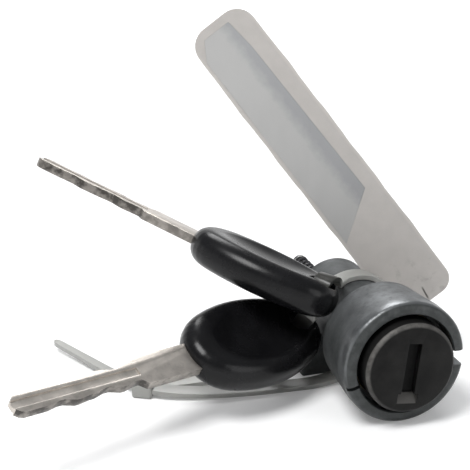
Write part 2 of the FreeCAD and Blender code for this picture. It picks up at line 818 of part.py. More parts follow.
def make_drive_cam():
    body = new_body("drive_cam")
    sketch = face_sketch(body, CAM_FRONT)
    draw_circle(sketch, "cam_radius")
    pad(body, sketch, "cam_thickness", backwards=True)
    sketch = face_sketch(body, CAM_FRONT - 2.9)
    draw_circle(sketch, size("tail_radius") + 0.8)
    pad(body, sketch, 2.9 + size(0.5), backwards=True)
    angle = math.radians(HALF_TURN + DRIVING_SIZES["plug_tilt"])
    sketch = face_sketch(body, CAM_REAR - 0.5)
    draw_circle(sketch, "crank_pin_radius", size("crank_radius") * math.sin(angle),
                size("crank_radius") * -math.cos(angle))
    pad(body, sketch, YOKE_REAR - CAM_REAR + 0.3, backwards=True)
    half_tang = size("tang_size") / 2.0 + "slip_fit"
    sketch = face_sketch(body, CAM_FRONT - 4.0)
    draw_box(sketch, -half_tang, half_tang, -half_tang, half_tang)
    pocket(body, sketch, 5.3)
    half_socket = size(1.7) + "slip_fit"
    sketch = face_sketch(body, CAM_REAR - 1.8)
    draw_box(sketch, -half_socket, half_socket, -half_socket, half_socket)
    pocket(body, sketch, 3.0)
    sketch = new_sketch(body, "YZ_Plane", -size("tail_radius") - 1.0)
    draw_circle(sketch, 0.8, CAM_FRONT - 1.5, 0)
    pocket(body, sketch, size("tail_radius") * 2.0 + 2.0, backwards=True)
    tilt_with_plug(body)
    length = size("tail_radius") * 2.0 + 1.6
    pin = bar("cam_pin_blank", 0.75, length, "X", length / -2.0, CAM_FRONT - 1.5, 0)
    return [body, tilted_copy(pin, "cam_pin")]


def make_tail_spindle():
    """The stepped shaft that turns the ignition switch, with its spring, washer and clip."""
    body = new_body("tail_spindle")
    groove_front, groove_rear = CLIP_FRONT - 0.05, CLIP_REAR + 0.05
    groove_radius = size("spring_seat_radius") - 0.5
    turned(body, [(0, CAM_REAR), ("spindle_radius", CAM_REAR), ("spindle_radius", COLLAR_FRONT),
                  ("collar_radius", COLLAR_FRONT), ("collar_radius", COLLAR_REAR),
                  ("spring_seat_radius", COLLAR_REAR), ("spring_seat_radius", groove_front),
                  (groove_radius, groove_front), (groove_radius, groove_rear),
                  ("spring_seat_radius", groove_rear), ("spring_seat_radius", SPINDLE_REAR - 0.4),
                  (size("spring_seat_radius") - 0.4, SPINDLE_REAR), (0, SPINDLE_REAR)])
    sketch = face_sketch(body, CAM_REAR - 1.7)
    draw_box(sketch, -1.7, 1.7, -1.7, 1.7)
    pad(body, sketch, 1.8, backwards=True)
    tilt_with_plug(body)
    washer = tube("spring_washer", "washer_radius", size("spring_seat_radius") + 0.1,
                  "washer_thickness", "Y", 0, SPRING_REAR, 0)
    ring = tube("spindle_clip_ring", size("washer_radius") - 0.1, groove_radius + 0.05,
                "clip_thickness", "Y", 0, CLIP_FRONT, 0)
    mouth = doc.addObject("Part::Box", "spindle_clip_mouth")
    bind(mouth, "Length", groove_radius * 1.6)
    bind(mouth, "Width", size("clip_thickness") + 0.4)
    bind(mouth, "Height", size("washer_radius") + 1.0)
    mouth.Placement = FreeCAD.Placement(vec(0, 0, 0), FreeCAD.Rotation())
    bind(mouth, "Placement.Base.x", groove_radius * -0.8)
    bind(mouth, "Placement.Base.y", CLIP_FRONT - 0.2)
    bind(mouth, "Placement.Base.z", -(size("washer_radius") + 1.0))
    clip = doc.addObject("Part::Cut", "spindle_clip")
    clip.Base = ring
    clip.Tool = mouth
    clip.Label = "spindle_clip"
    return [body, washer, clip, make_return_spring()]


def make_return_spring():
    """A coil spring of six-sided wire round the spindle."""
    coil_radius = size("spring_seat_radius") + 0.1 + size("spring_wire") / 2.0
    spine = doc.addObject("Part::Helix", "return_spring_spine")
    bind(spine, "Pitch", "spring_pitch")
    bind(spine, "Height", size("spring_pitch") * "spring_turns")
    bind(spine, "Radius", coil_radius)
    section = doc.addObject("Part::RegularPolygon", "return_spring_wire")
    section.Polygon = 6
    bind(section, "Circumradius", size("spring_wire") / 2.0)
    section.Placement = FreeCAD.Placement(
        vec(coil_radius.number, 0, 0), FreeCAD.Rotation(AXIS_X, 90))
    bind(section, "Placement.Base.x", coil_radius)
    spring = doc.addObject("Part::Sweep", "return_spring")
    spring.Sections = [section]
    spring.Spine = (spine, [])
    spring.Solid = True
    spring.Frenet = True
    spring.Label = "return_spring"
    start = COLLAR_REAR + size("spring_wire") / 2.0 + 0.02
    spring.Placement = FreeCAD.Placement(
        vec(0, start.number, 0), FreeCAD.Rotation(AXIS_X, -90))
    bind(spring, "Placement.Base.y", start)
    return spring


# Sliding bolt

def make_lock_bolt():
    body = new_body("lock_bolt")
    tail = -size("bolt_tail")
    nose = size("block_right") + "bolt_proud"
    sketch = new_sketch(body, "YZ_Plane", tail)
    draw_box(sketch, BOLT_FRONT, BOLT_REAR, BOLT_BOTTOM, BOLT_TOP)
    pad(body, sketch, nose - tail)

    def nose_edge(edge):
        return all(abs(vertex.Point.x - nose.number) < 1e-4 for vertex in edge.Vertexes)

    soften(body, "Chamfer", 1.0, nose_edge)
    sketch = new_sketch(body, "YZ_Plane", tail)
    draw_circle(sketch, size("bolt_spring_radius") + 0.2, BOLT_MIDDLE_Y, BOLT_MIDDLE_Z)
    pocket(body, sketch, "bolt_spring_bore", backwards=True)
    sketch = face_sketch(body, BOLT_REAR)
    draw_circle(sketch, 0.95, CRANK_X, BOLT_MIDDLE_Z)
    pocket(body, sketch, 2.5, backwards=True)
    return body


def make_bolt_yoke():
    body = new_body("bolt_yoke")
    left, right = CRANK_X - "yoke_half", CRANK_X + "yoke_half"
    half_slot = size("yoke_slot") / 2.0
    top = -size("yoke_top")
    slot_foot = -(size("crank_radius") + "crank_pin_radius" + 0.4)
    foot = BOLT_BOTTOM + 0.4
    sketch = face_sketch(body, YOKE_FRONT)
    draw_outline(sketch, [(left, foot), (right, foot), (right, top), (CRANK_X + half_slot, top),
                          (CRANK_X + half_slot, slot_foot), (CRANK_X - half_slot, slot_foot),
                          (CRANK_X - half_slot, top), (left, top)])
    pad(body, sketch, "yoke_thickness", backwards=True)
    sketch = face_sketch(body, YOKE_FRONT)
    draw_circle(sketch, 0.95, CRANK_X, BOLT_MIDDLE_Z)
    pocket(body, sketch, "yoke_thickness")
    rivet = bar("yoke_rivet", 0.9, size("yoke_thickness") + 2.3, "Y",
                CRANK_X, YOKE_FRONT - 2.4, BOLT_MIDDLE_Z)
    return [body, rivet]


def make_bolt_spring():
    length = -(size("bolt_tail")) + "bolt_spring_bore" - CHANNEL_LEFT - 0.1
    return post("bolt_spring", "bolt_spring_radius", length,
                "X", CHANNEL_LEFT + 0.05, BOLT_MIDDLE_Y, BOLT_MIDDLE_Z)


# Keys

KEY_POSES = {
    # hole centre (x beyond the drum, depth, height), then heading, dip and roll
    "lower_key": {"beyond": 6.4, "depth": 31.6, "height": -1.8,
                  "heading": 22.2, "dip": 4.1, "roll": 29.7},
    "upper_key": {"beyond": 4.5, "depth": 23.5, "height": 10.6,
                  "heading": -48.2, "dip": 15.1, "roll": -19.0},
}


def key_placement(name):
    """The place and turn of a key whose own X runs from blade tip to head end."""
    pose = KEY_POSES[name]
    turn = FreeCAD.Rotation(pose["heading"], pose["dip"], pose["roll"])
    hole = vec(-DRIVING_SIZES["drum_radius"] - pose["beyond"],
               at_depth(pose["depth"]).number, pose["height"])
    reach = DRIVING_SIZES["key_head_length"] / 2.0 - DRIVING_SIZES["key_hole_inset"]
    return FreeCAD.Placement(hole - turn.multVec(vec(reach, 0, 0)), turn)


def draw_head_outline(sketch, inset):
    """The head's outline, or one that lies inside it all round."""
    half_length = size("key_head_length") / 2.0 - inset
    draw_oval(sketch, half_length, -half_length, size("key_head_end_radius") - inset,
              size("key_head_root_radius") - inset, size("key_head_side_radius") - inset)


def make_key_head(name):
    body = new_body(name + "_head")
    half_length = size("key_head_length") / 2.0
    half_thickness = size("key_head_thickness") / 2.0
    sketch = new_sketch(body, "XY_Plane", -half_thickness)
    draw_head_outline(sketch, size(0.0))
    pad(body, sketch, "key_head_thickness")
    first = size("key_head_round") * (2.0 - math.sqrt(2.0))
    second = size("key_head_round") * (math.tan(math.radians(22.5)) - math.tan(math.radians(11.25)))
    soften(body, "Chamfer", first, level_loop(half_thickness))
    soften(body, "Chamfer", second, level_loop(half_thickness, half_thickness - first))
    for side in (1.0, -1.0):
        press_dish(body, half_thickness, side)
    sketch = new_sketch(body, "XY_Plane", half_thickness)
    draw_circle(sketch, "key_hole_radius", half_length - "key_hole_inset", 0)
    pocket(body, sketch, "key_head_thickness")
    root = -half_length + "blade_root"
    half_blade = size("blade_width") / 2.0 + 0.02
    half_blade_thickness = size("blade_thickness") / 2.0 + 0.02
    sketch = new_sketch(body, "YZ_Plane", root)
    draw_box(sketch, -half_blade, half_blade, -half_blade_thickness, half_blade_thickness)
    pocket(body, sketch, size("blade_root") + 1.0)
    body.Placement = key_placement(name)
    return body


def press_dish(body, half_thickness, side):
    """A broad thumb dish with sloping walls, pressed into one face of the head."""
    outer = new_sketch(body, "XY_Plane", half_thickness * side)
    draw_head_outline(outer, size("key_rim"))
    inner = new_sketch(body, "XY_Plane", (half_thickness - "key_dish_depth") * side)
    draw_head_outline(inner, size("key_rim") + "key_dish_slope")
    dish = body.newObject("PartDesign::SubtractiveLoft", body.Label + "_dish")
    dish.Profile = outer
    dish.Sections = [inner]
    dish.Ruled = True


def make_key_blade(name):
    """A flat blade with cuts along both edges, a groove in each face and a pointed tip."""
    body = new_body(name + "_blade")
    half_width = size("blade_width") / 2.0
    head_end = size("key_head_length") / -2.0
    shank_end = head_end - "blade_shank"
    tip = head_end - "blade_length"
    pitch = (size("blade_length") - "blade_shank" - 6.0) / float(len(BLADE_CUTS_ABOVE))
    above, below = [], []
    for index, (up, down) in enumerate(zip(BLADE_CUTS_ABOVE, BLADE_CUTS_BELOW)):
        middle = shank_end - 2.4 - pitch * float(index)
        for side in (0.7, -0.7):
            above.append((middle + side, half_width - 0.5 - up))
            below.append((middle + side, -half_width + 0.5 + down))
    root = head_end + "blade_root" - 0.05
    upper = [(root, half_width), (shank_end, half_width)] + above
    lower = [(root, -half_width), (shank_end, -half_width)] + below
    point = [(tip + 2.2, half_width - 1.7), (tip, 0.9), (tip, -0.9),
             (tip + 2.2, -half_width + 1.7)]
    sketch = new_sketch(body, "XY_Plane", size("blade_thickness") / -2.0)
    draw_outline(sketch, upper + point + lower[::-1])
    pad(body, sketch, "blade_thickness")
    half_groove = size("blade_groove_width") / 2.0
    for level, backwards in ((size("blade_thickness") / 2.0, False),
                             (size("blade_thickness") / -2.0, True)):
        sketch = new_sketch(body, "XY_Plane", level)
        draw_box(sketch, tip - 1.0, shank_end - 1.0, -half_groove, half_groove)
        pocket(body, sketch, "blade_groove_depth", backwards)
    body.Placement = key_placement(name)
    return body


# Cable tie

def tie_route():
    """Middle line of the strap from its head, round the drum, through both keys and out."""
    value = DRIVING_SIZES
    seat = value["drum_radius"] + value["tie_seat_gap"] + value["tie_thickness"] / 2.0
    table = -value["ring_radius"] + value["tie_thickness"] / 2.0 + 0.1
    grow = value["drum_radius"] - 10.3

    def at(x, depth, z):
        return vec(x, depth - value["nose_round"], z)

    along_table = [at(-55.5, 35.4, table + 1.2), at(-50.0, 31.3, table + 0.9),
                   at(-44.0, 27.6, table + 0.6), at(-36.5, 24.6, table + 0.3),
                   at(-28.5, 23.9, table), at(-20.8, 25.0, table), at(-13.6, 26.6, table + 0.2)]
    below_and_right = [at(-6.5, 27.4, table + 0.9), at(0.5, 27.8, table + 1.7),
                       at(8.0 + grow, 28.3, table + 2.9), at(13.6 + grow, 30.4, table + 5.2),
                       at(16.9 + grow, 33.4, table + 8.6), at(18.4 + grow, 36.3, table + 12.2),
                       at(17.9 + grow, 38.0, table + 15.4)]
    leave = math.radians(52)
    corner = at(seat * math.cos(leave), 32.4, seat * math.sin(leave))
    pierce = label_slot_centre()
    beyond_label = pierce + (pierce - corner).normalize() * 2.6
    over_drum = []
    for degrees, depth, lift in ((64, 32.9, 0.0), (76, 33.1, 0.0), (88, 33.1, 0.0),
                                 (100, 33.0, 0.05), (111, 32.7, 0.2), (121, 32.1, 0.6)):
        angle = math.radians(degrees)
        over_drum.append(at((seat + lift) * math.cos(angle), depth,
                            (seat + lift) * math.sin(angle)))
    reach = value["key_head_length"] / 2.0 - value["key_hole_inset"]
    upper, lower = key_placement("upper_key"), key_placement("lower_key")
    over_upper = [(0.0, 9.4, 4.5), (0.0, 5.6, 6.2), (0.0, 2.4, 6.5), (0.0, 0.6, 5.6),
                  (0.0, 0.0, 4.0), (0.0, 0.0, -3.6), (-0.3, 0.7, -5.2)]
    through_keys = [upper.multVec(vec(reach + x, y, z)) for x, y, z in over_upper]
    through_keys += [lower.multVec(vec(reach, y, z)) for y, z in ((-0.4, 5.4), (0.0, -5.2))]
    below_lower = through_keys[-1]
    back = [below_lower + vec(-2.2, 0.9, -2.9), at(-26.5, 36.4, table + 1.4),
            at(-34.5, 37.0, table + 0.5), at(-43.5, 37.0, table + 0.6),
            at(-51.0, 36.8, table + 0.9), at(-56.5, 37.4, table + 1.2)]
    tail = [at(-59.6, 41.0, table + 1.2), at(-62.8, 48.0, table + 1.0),
            at(-67.5, 59.5, table + 1.1), at(-72.7, 70.8, table + 1.7)]
    return [(along_table, "flat"), (below_and_right + [beyond_label, corner] + over_drum, "round"),
            (through_keys, "carried"), (back + tail, "flat")]


def label_slot_centre():
    """Where the strap pierces the label, on its straight run down from the drum."""
    grow = DRIVING_SIZES["drum_radius"] - 10.3
    return vec(12.8 + grow, at_depth(36.1).number, 3.8 + grow)


def skin_over(sections):
    """A solid through four-cornered sections, each twisted side made of two flat facets."""
    faces = []
    for before, after in zip(sections, sections[1:]):
        for index in range(4):
            a, b = before[index], before[(index + 1) % 4]
            c, d = after[(index + 1) % 4], after[index]
            for corners in ([a, b, c, a], [a, c, d, a]):
                faces.append(Part.Face(Part.makePolygon(corners)))
    for end in (sections[0][::-1], sections[-1]):
        faces.append(Part.Face(Part.makePolygon(end + end[:1])))
    shell = Part.makeShell(faces)
    shell.sewShape()
    solid = Part.Solid(shell)
    if solid.Volume < 0:
        solid.reverse()
    if not solid.isValid():
        raise RuntimeError("the strap's skin isn't closed")
    return solid


def make_cable_tie():
    """A flat strap skinned over sections along its route, fused to its own head."""
    route = [(point, lie) for points, lie in tie_route() for point in points]
    half_width = DRIVING_SIZES["tie_width"] / 2.0
    half_thickness = DRIVING_SIZES["tie_thickness"] / 2.0
    across = vec(-0.5, -0.8, 0)
    sections = []
    for index, (point, lie) in enumerate(route):
        before = route[max(index - 1, 0)][0]
        after = route[min(index + 1, len(route) - 1)][0]
        along = ((point - before).normalize() if index else vec(0, 0, 0)) + (
            (after - point).normalize() if index < len(route) - 1 else vec(0, 0, 0))
        along.normalize()
        hint = {"flat": AXIS_Z.cross(along), "round": vec(0, -1, 0), "carried": across}[lie]
        if hint.dot(across) < 0:
            hint = hint * -1.0
        across = (hint - along * hint.dot(along)).normalize()
        face = along.cross(across).normalize()
        narrow = 1.0 if index < len(route) - 1 else 0.6
        corners = []
        for side, level in ((-1, -1), (1, -1), (1, 1), (-1, 1)):
            corners.append(point + across * (side * half_width * narrow)
                           + face * (level * half_thickness))
        sections.append(corners)
    past_keys = len(route) - len(tie_route()[-1][0]) - 1
    strap = skin_over(sections[:past_keys + 1])
    loose_end = skin_over(sections[past_keys:])
    head = Part.makeBox(6.4, 7.0, 4.2, vec(-3.2, -3.5, 0))
    head = head.makeChamfer(0.6, head.Edges)
    head.Placement = FreeCAD.Placement(
        vec(-56.8, at_depth(36.4).number, -DRIVING_SIZES["ring_radius"]),
        FreeCAD.Rotation(AXIS_Z, -30))
    solid = doc.addObject("Part::Feature", "cable_tie")
    solid.Label = "cable_tie"
    solid.Shape = strap.fuse([loose_end, head]).removeSplitter()
    return solid


# Label

LABEL_TURN = FreeCAD.Rotation(
    vec(0.799 * 0.947 + 0.0345, -0.2564 + 0.101, 0.605),
    vec(-0.5348, 0.3266, 0.7779), vec(-0.316, -0.933, 0.174), "YZX")


def label_placement():
    return FreeCAD.Placement(label_slot_centre(), LABEL_TURN)


def make_label_strip():
    """The clear strip: rounded ends, a recess for the slip, a slit for the strap."""
    left, right = -size("label_left"), size("label_width") - "label_left"
    foot = -size("label_below")
    top = size("label_length") - "label_below"
    back = size("label_thickness") / -2.0
    body = new_body("label_strip")
    sketch = new_sketch(body, "XY_Plane", back)
    draw_box(sketch, left, right, foot, top)
    pad(body, sketch, "label_thickness")

    def corner_at(level):
        def wanted(edge):
            ends = [vertex.Point for vertex in edge.Vertexes]
            return all(abs(end.y - level.number) < 1e-4 for end in ends) and (
                abs(ends[0].x - ends[1].x) < 1e-6)
        return wanted

    soften(body, "Fillet", "label_top_round", corner_at(top))
    soften(body, "Fillet", "label_foot_round", corner_at(foot))
    front = size("label_thickness") / 2.0
    sketch = new_sketch(body, "XY_Plane", front)
    draw_outline(sketch, slip_outline(left, right, top, 0.0))
    pocket(body, sketch, "label_recess")
    sketch = new_sketch(body, "XY_Plane", front, turn=size(10.7))
    draw_box(sketch, -1.3, 1.3, -4.3, 4.3)
    pocket(body, sketch, "label_thickness")
    body.Placement = label_placement()
    clear = bar("label_clearance", size("drum_radius") + "small_gap", 40.0, "Y", 0, SLEEVE_REAR, 0)
    strip = doc.addObject("Part::Cut", "label_tape")
    strip.Base = body
    strip.Tool = clear
    strip.Label = "label_tape"
    paper = new_body("label_paper")
    sketch = new_sketch(paper, "XY_Plane", front - "label_recess")
    draw_outline(sketch, slip_outline(left, right, top, 0.03))
    pad(paper, sketch, size("label_recess") - 0.02)
    paper.Placement = label_placement()
    return [strip, paper]


def slip_outline(left, right, top, inset):
    """The paper slip with its lower end cut on the slant."""
    low_left, low_right = size(18.0 + inset), size(27.0 + inset)
    return [(left + 0.9 + inset, low_left), (right - 4.0 - inset, low_right),
            (right - 5.0 - inset, top - 11.0), (right - 6.0 - inset, top - 2.4 - inset),
            (left + 4.0 + inset, top - 2.4 - inset), (left + 0.9 + inset, top - 7.5)]


# Build, check and write

def main():
    fill_sheet()
    nodes = [make_barrel_housing(), make_rear_cover(), make_cover_screws(), make_face_cap(),
             make_rotor()]
    nodes += make_wafers()
    nodes.append(make_wafer_springs())
    nodes += make_shutter()
    nodes += make_retaining_peg()
    nodes += make_drive_cam()
    nodes += make_tail_spindle()
    nodes.append(make_lock_bolt())
    nodes += make_bolt_yoke()
    nodes.append(make_bolt_spring())
    for name in KEY_POSES:
        nodes.append(make_key_head(name))
        nodes.append(make_key_blade(name))
    nodes.append(make_cable_tie())
    nodes += make_label_strip()
    doc.recompute()
    for item in doc.Objects:
        if "Invalid" in item.State or "Error" in item.State:
            raise RuntimeError("%s failed: %s" % (item.Label, item.State))
    for node in nodes:
        if node.Shape.isNull() or not node.Shape.isValid():
            raise RuntimeError("%s has no valid shape" % node.Label)
    os.makedirs("parts", exist_ok=True)
    for node in nodes:
        node.Shape.exportStep("parts/%s.step" % node.Label)
    print("%d sub-parts written" % len(nodes))


main()
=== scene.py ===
"""Barrel steering lock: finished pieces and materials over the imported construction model."""

import json
import math

import bpy
from mathutils import Matrix, Vector


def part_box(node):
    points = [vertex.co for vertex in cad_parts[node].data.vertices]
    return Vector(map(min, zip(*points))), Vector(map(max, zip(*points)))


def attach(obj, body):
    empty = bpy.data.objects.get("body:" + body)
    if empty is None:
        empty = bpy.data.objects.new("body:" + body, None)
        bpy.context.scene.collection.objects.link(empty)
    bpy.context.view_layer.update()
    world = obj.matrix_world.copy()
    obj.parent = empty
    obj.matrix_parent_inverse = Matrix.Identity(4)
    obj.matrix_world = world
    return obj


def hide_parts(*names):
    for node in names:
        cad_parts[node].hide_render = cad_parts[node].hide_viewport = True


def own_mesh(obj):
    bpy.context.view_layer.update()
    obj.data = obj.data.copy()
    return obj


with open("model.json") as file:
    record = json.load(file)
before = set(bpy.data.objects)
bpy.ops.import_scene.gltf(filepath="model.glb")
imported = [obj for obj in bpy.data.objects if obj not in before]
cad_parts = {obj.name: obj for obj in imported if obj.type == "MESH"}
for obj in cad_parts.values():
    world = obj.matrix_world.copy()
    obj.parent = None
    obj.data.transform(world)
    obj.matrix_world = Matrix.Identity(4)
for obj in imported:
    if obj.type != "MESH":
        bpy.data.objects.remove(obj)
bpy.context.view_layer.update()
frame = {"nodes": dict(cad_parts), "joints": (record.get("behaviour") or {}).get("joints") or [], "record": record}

bl_info = {
    "name": "Barrel steering lock",
    "version": (1, 0, 0),
    "blender": (4, 5, 0),
    "location": "View3D > Sidebar > Steering lock",
    "description": "Finished pieces, materials and stage for a barrel steering lock",
    "category": "Add Mesh",
}

MM = 0.001
NODES = frame["nodes"]
PLUG_TILT = math.radians(7.3)

# Sizes and places along the barrel in millimetres, as in the construction model

FRONT = -1.75
FACE = -4.95
RING_RADIUS = 16.0
RING_BORE = 12.92
RING_REAR = 3.25
RING_FLOOR = 3.75
NOSE_ROUND = 1.75
CAP_RADIUS = 11.79
CAP_REAR = 1.85
HEAD_BORE = 10.08
HEAD_REAR = 6.5
SLEEVE_REAR = 17.25
SLEEVE_REAR_RADIUS = 14.86
SLEEVE_ROUND = 1.2
DRUM_RADIUS = 10.3
DRUM_REAR = 44.25
PLUG_BORE = 8.05
GROOVE_RADIUS = 9.4
GROOVE_FRONT = 25.3
GROOVE_REAR = 27.6
GUIDE_FRONT = 30.85
GUIDE_LEFT = -14.5
GUIDE_RIGHT = 11.5
GUIDE_SHOULDER = -8.2
GUIDE_NECK = 9.2
TABLE = -16.0
SLOT_HALF_WIDTH = 1.75
SLOT_HALF_HEIGHT = 6.65
RAMP_HALF_WIDTH = 2.6
KEY_HOLE = 15.5
KEY_HOLE_RADIUS = 3.7
KEY_HEAD_HALF = 4.75
BLADE_HALF = 1.2
SHANK_START = -9.05
SHANK_END = -36.0
SHANK_HALF = 4.25
CUTS_START = -38.4
CUTS_SPAN = 30.6
CUTS_HALF = 3.75
STRAP_HALF_WIDTH = 2.4
STRAP_THICKNESS = 1.2
LABEL_LEFT = -3.3
LABEL_RIGHT = 14.6
LABEL_FOOT = -8.0
LABEL_TOP = 86.0
LABEL_HALF = 0.25
LABEL_FOOT_ROUND = 4.4
LABEL_TOP_ROUND = 5.5
LABEL_CLEARANCE = 0.3

# Springs: length, coil radius, wire and turns of a pressed one, its place and its travel

BOLT_SPRING = (14.93, 1.2, 0.45, 9)
BOLT_SPRING_PLACE = (-11.48, 37.05, -12.1)
BOLT_TRAVEL = 9.85
PEG_SPRING = (2.92, 0.55, 0.25, 5)
PEG_SPRING_PLACE = (-4.56, 26.45, 0.0)
PEG_TRAVEL = 1.3
RETURN_RADIUS = 1.725
RETURN_PITCH = 2.3
RETURN_TURNS = 5

# Heading, dip and roll of each key in degrees

KEY_POSES = {"lower_key": (22.2, 4.1, 29.7), "upper_key": (-48.2, 15.1, -19.0)}

# Stage: lamps as name, place, size and power in metres and watts, camera in millimetres

LAMPS = (("key_lamp", (-0.32, -0.12, 0.62), 0.34, 4.2),
         ("fill_lamp", (0.40, -0.55, 0.35), 0.5, 1.1),
         ("back_lamp", (0.12, 0.55, 0.55), 0.4, 2.4))
LAMP_AIM = (-0.03, 0.03, 0.0)
CAMERA_PLACE = (-149.71, -312.88, 159.85)
CAMERA_AIM = (-44.4, -1.75, 39.0)
CAMERA_LENS = 117.65
FLOOR_SIZE = 6.0
FLOOR_DROP = 0.02
GLOW_START = 0.27
GLOW_SLOPE = 1.5
GLOW_NEAR = 0.16
GLOW_ADDED = 0.62
SKY = (0.9, 0.92, 0.95, 1.0)
SKY_STRENGTH = 0.34
HORIZON_LOW = 0.17
HORIZON_HIGH = 0.42
WHITE = (1.0, 1.0, 1.0, 1.0)


def mm(*values):
    """Millimetres of the frame as a vector in metres."""
    return Vector(values) * MM


# Sizes and colours that a user would change

def length(name, text, value):
    return bpy.props.FloatProperty(name=name, description=text, default=value * MM,
                                   min=0.0, subtype="DISTANCE", unit="LENGTH", precision=5)


def colour(name, text, value):
    return bpy.props.FloatVectorProperty(name=name, description=text, default=value, size=3,
                                         min=0.0, max=1.0, subtype="COLOR")


class LockSizes(bpy.types.PropertyGroup):
    """Sizes of the edges and marks that the finished pieces add."""
    ring_edge: length("Ring inner edge", "Width of the break inside the nose ring", 0.3)
    cap_edge: length("Key slot edge", "Width of the softened edge of the key slot", 0.12)
    blade_edge: length("Blade edge", "Width of the softened edges of a key blade", 0.14)
    wire: length("Spring wire", "Thickness of the return spring's wire", 0.85)
    strap_edge: length("Strap edge", "Width of the rounded edges of the cable tie", 0.3)


class LockColours(bpy.types.PropertyGroup):
    """Colours of the finishes."""
    zinc: colour("Zinc", "Bare die-cast zinc", (0.212, 0.221, 0.227))
    # This dark colour is grease, and also the painted shade and painted dark reflection on the casting.
    grease_and_shade: colour("Grime", "Old grease on the casting", (0.019, 0.022, 0.0215))
    face: colour("Key face", "Blackened face round the key slot", (0.005, 0.005, 0.0049))
    # Also the colour of the painted highlight on the rim and of the lighter ramp.
    wear_and_highlight: colour("Worn rim", "Rubbed rim of the key face", (0.118, 0.114, 0.108))
    plastic: colour("Key plastic", "Moulded key heads", (0.0045, 0.0045, 0.005))
    nickel: colour("Blade nickel", "Plating of the key blades", (0.56, 0.52, 0.475))
    nylon: colour("Nylon", "Cable tie", (0.50, 0.50, 0.475))
    film: colour("Film", "Clear strip of the label", (0.435, 0.413, 0.392))
    slip: colour("Slip", "Paper slip of the label", (0.405, 0.402, 0.395))
    floor: colour("Floor", "Stage floor", (0.88, 0.88, 0.88))


# Modelling helpers

def sizes():
    return bpy.context.scene.lock_sizes


def colours():
    return bpy.context.scene.lock_colours


def deselect():
    if bpy.context.object and bpy.context.object.mode != "OBJECT":
        bpy.ops.object.mode_set(mode="OBJECT")
    bpy.ops.object.select_all(action="DESELECT")


def only(piece):
    deselect()
    piece.select_set(True)
    bpy.context.view_layer.objects.active = piece
    return piece


def name_new(name):
    piece = bpy.context.object
    piece.name = piece.data.name = name
    return piece


def edit():
    bpy.ops.object.mode_set(mode="EDIT")


def leave():
    bpy.ops.object.mode_set(mode="OBJECT")


def face_out():
    """Turn all faces of the mesh being edited outwards, and leave it."""
    bpy.ops.mesh.select_all(action="SELECT")
    bpy.ops.mesh.normals_make_consistent(inside=False)
    leave()


def set_in_place(piece):
    """Put the piece's place, turn and scale into its mesh."""
    only(piece)
    bpy.ops.object.transform_apply(location=True, rotation=True, scale=True)
    return piece


def put(piece, matrix):
    """Move a piece by a matrix and keep its mesh there."""
    piece.matrix_world = matrix
    return set_in_place(piece)


def rotation(degrees, axis):
    return Matrix.Rotation(math.radians(degrees), 4, axis)


def trace(name, points):
    """A chain of edges drawn by extruding one corner from the next, in millimetres."""
    deselect()
    points = [mm(*point) for point in points]
    bpy.ops.mesh.primitive_plane_add(size=0.0001, location=points[0])
    piece = name_new(name)
    edit()
    bpy.ops.mesh.select_all(action="SELECT")
    bpy.ops.mesh.merge(type="CENTER")
    for start, stop in zip(points, points[1:]):
        bpy.ops.mesh.extrude_region_move(TRANSFORM_OT_translate={"value": stop - start})
    leave()
    return set_in_place(piece)


def close_outline(piece):
    """Join the chain's ends and fill it."""
    only(piece)
    edit()
    bpy.ops.mesh.select_all(action="SELECT")
    bpy.ops.mesh.edge_face_add()
    leave()


def slab(name, points, push):
    """An outline filled and extruded by a vector in millimetres."""
    piece = trace(name, points)
    close_outline(piece)
    edit()
    bpy.ops.mesh.select_all(action="SELECT")
    bpy.ops.mesh.extrude_region_move(TRANSFORM_OT_translate={"value": mm(*push)})
    face_out()
    return piece


def block(name, low, high):
    """A box between two corners, for cutting."""
    deselect()
    low, high = Vector(low), Vector(high)
    bpy.ops.mesh.primitive_cube_add(size=1.0, location=(low + high) * 0.5 * MM,
                                    scale=(high - low) * MM)
    return set_in_place(name_new(name))


def turn(name, points, steps=128):
    """A closed outline of (radius, place along the barrel) spun about the barrel's axis."""
    piece = trace(name, [(radius, place, 0.0) for radius, place in points])
    only(piece)
    edit()
    bpy.ops.mesh.select_all(action="SELECT")
    if points[0][0] > 0:
        bpy.ops.mesh.edge_face_add()
        bpy.ops.mesh.delete(type="ONLY_FACE")
        bpy.ops.mesh.select_all(action="SELECT")
    bpy.ops.mesh.spin(steps=steps, angle=math.tau, center=(0, 0, 0), axis=(0, 1, 0))
    bpy.ops.mesh.select_all(action="SELECT")
    bpy.ops.mesh.remove_doubles(threshold=0.000002)
    face_out()
    return piece


def rod(name, radius, front, rear):
    """A round bar along the barrel, for cutting."""
    return turn(name, [(0.0, front), (radius, front), (radius, rear), (0.0, rear)])


def modify(piece, kind, **values):
    """Add a modifier with its values and apply it."""
    only(piece)
    modifier = piece.modifiers.new(kind.lower(), kind)
    for key, value in values.items():
        setattr(modifier, key, value)
    bpy.ops.object.modifier_apply(modifier=modifier.name)


def combine(piece, other, operation="DIFFERENCE"):
    """Cut a second solid away, or join it on, and drop it."""
    modify(piece, "BOOLEAN", operation=operation, object=other, solver="EXACT")
    bpy.data.objects.remove(other)
    return piece


def soften(piece, width, angle=32.0, segments=2):
    """Round the piece's sharp edges."""
    modify(piece, "BEVEL", width=width, segments=segments, limit_method="ANGLE",
           angle_limit=math.radians(angle), miter_outer="MITER_ARC")


def smooth(piece, angle=32.0):
    only(piece)
    bpy.ops.object.shade_smooth_by_angle(angle=math.radians(angle))


def finish_piece(piece, body, slot, replaced=()):
    """Give a piece the material of its slot, hide the nodes it stands for and attach it to its body."""
    piece.data.materials.clear()
    piece.data.materials.append(material(slot))
    if replaced:
        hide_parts(*replaced)
    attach(piece, body)
    return piece


def arc(cx, cy, radius, start, stop, steps):
    """Points on an arc, angles in degrees from the first axis to the second."""
    angles = [math.radians(start + (stop - start) * step / steps) for step in range(steps + 1)]
    return [(cx + radius * math.cos(angle), cy + radius * math.sin(angle)) for angle in angles]


LABEL_MIDDLE = mm(12.8, 34.35, 3.8)


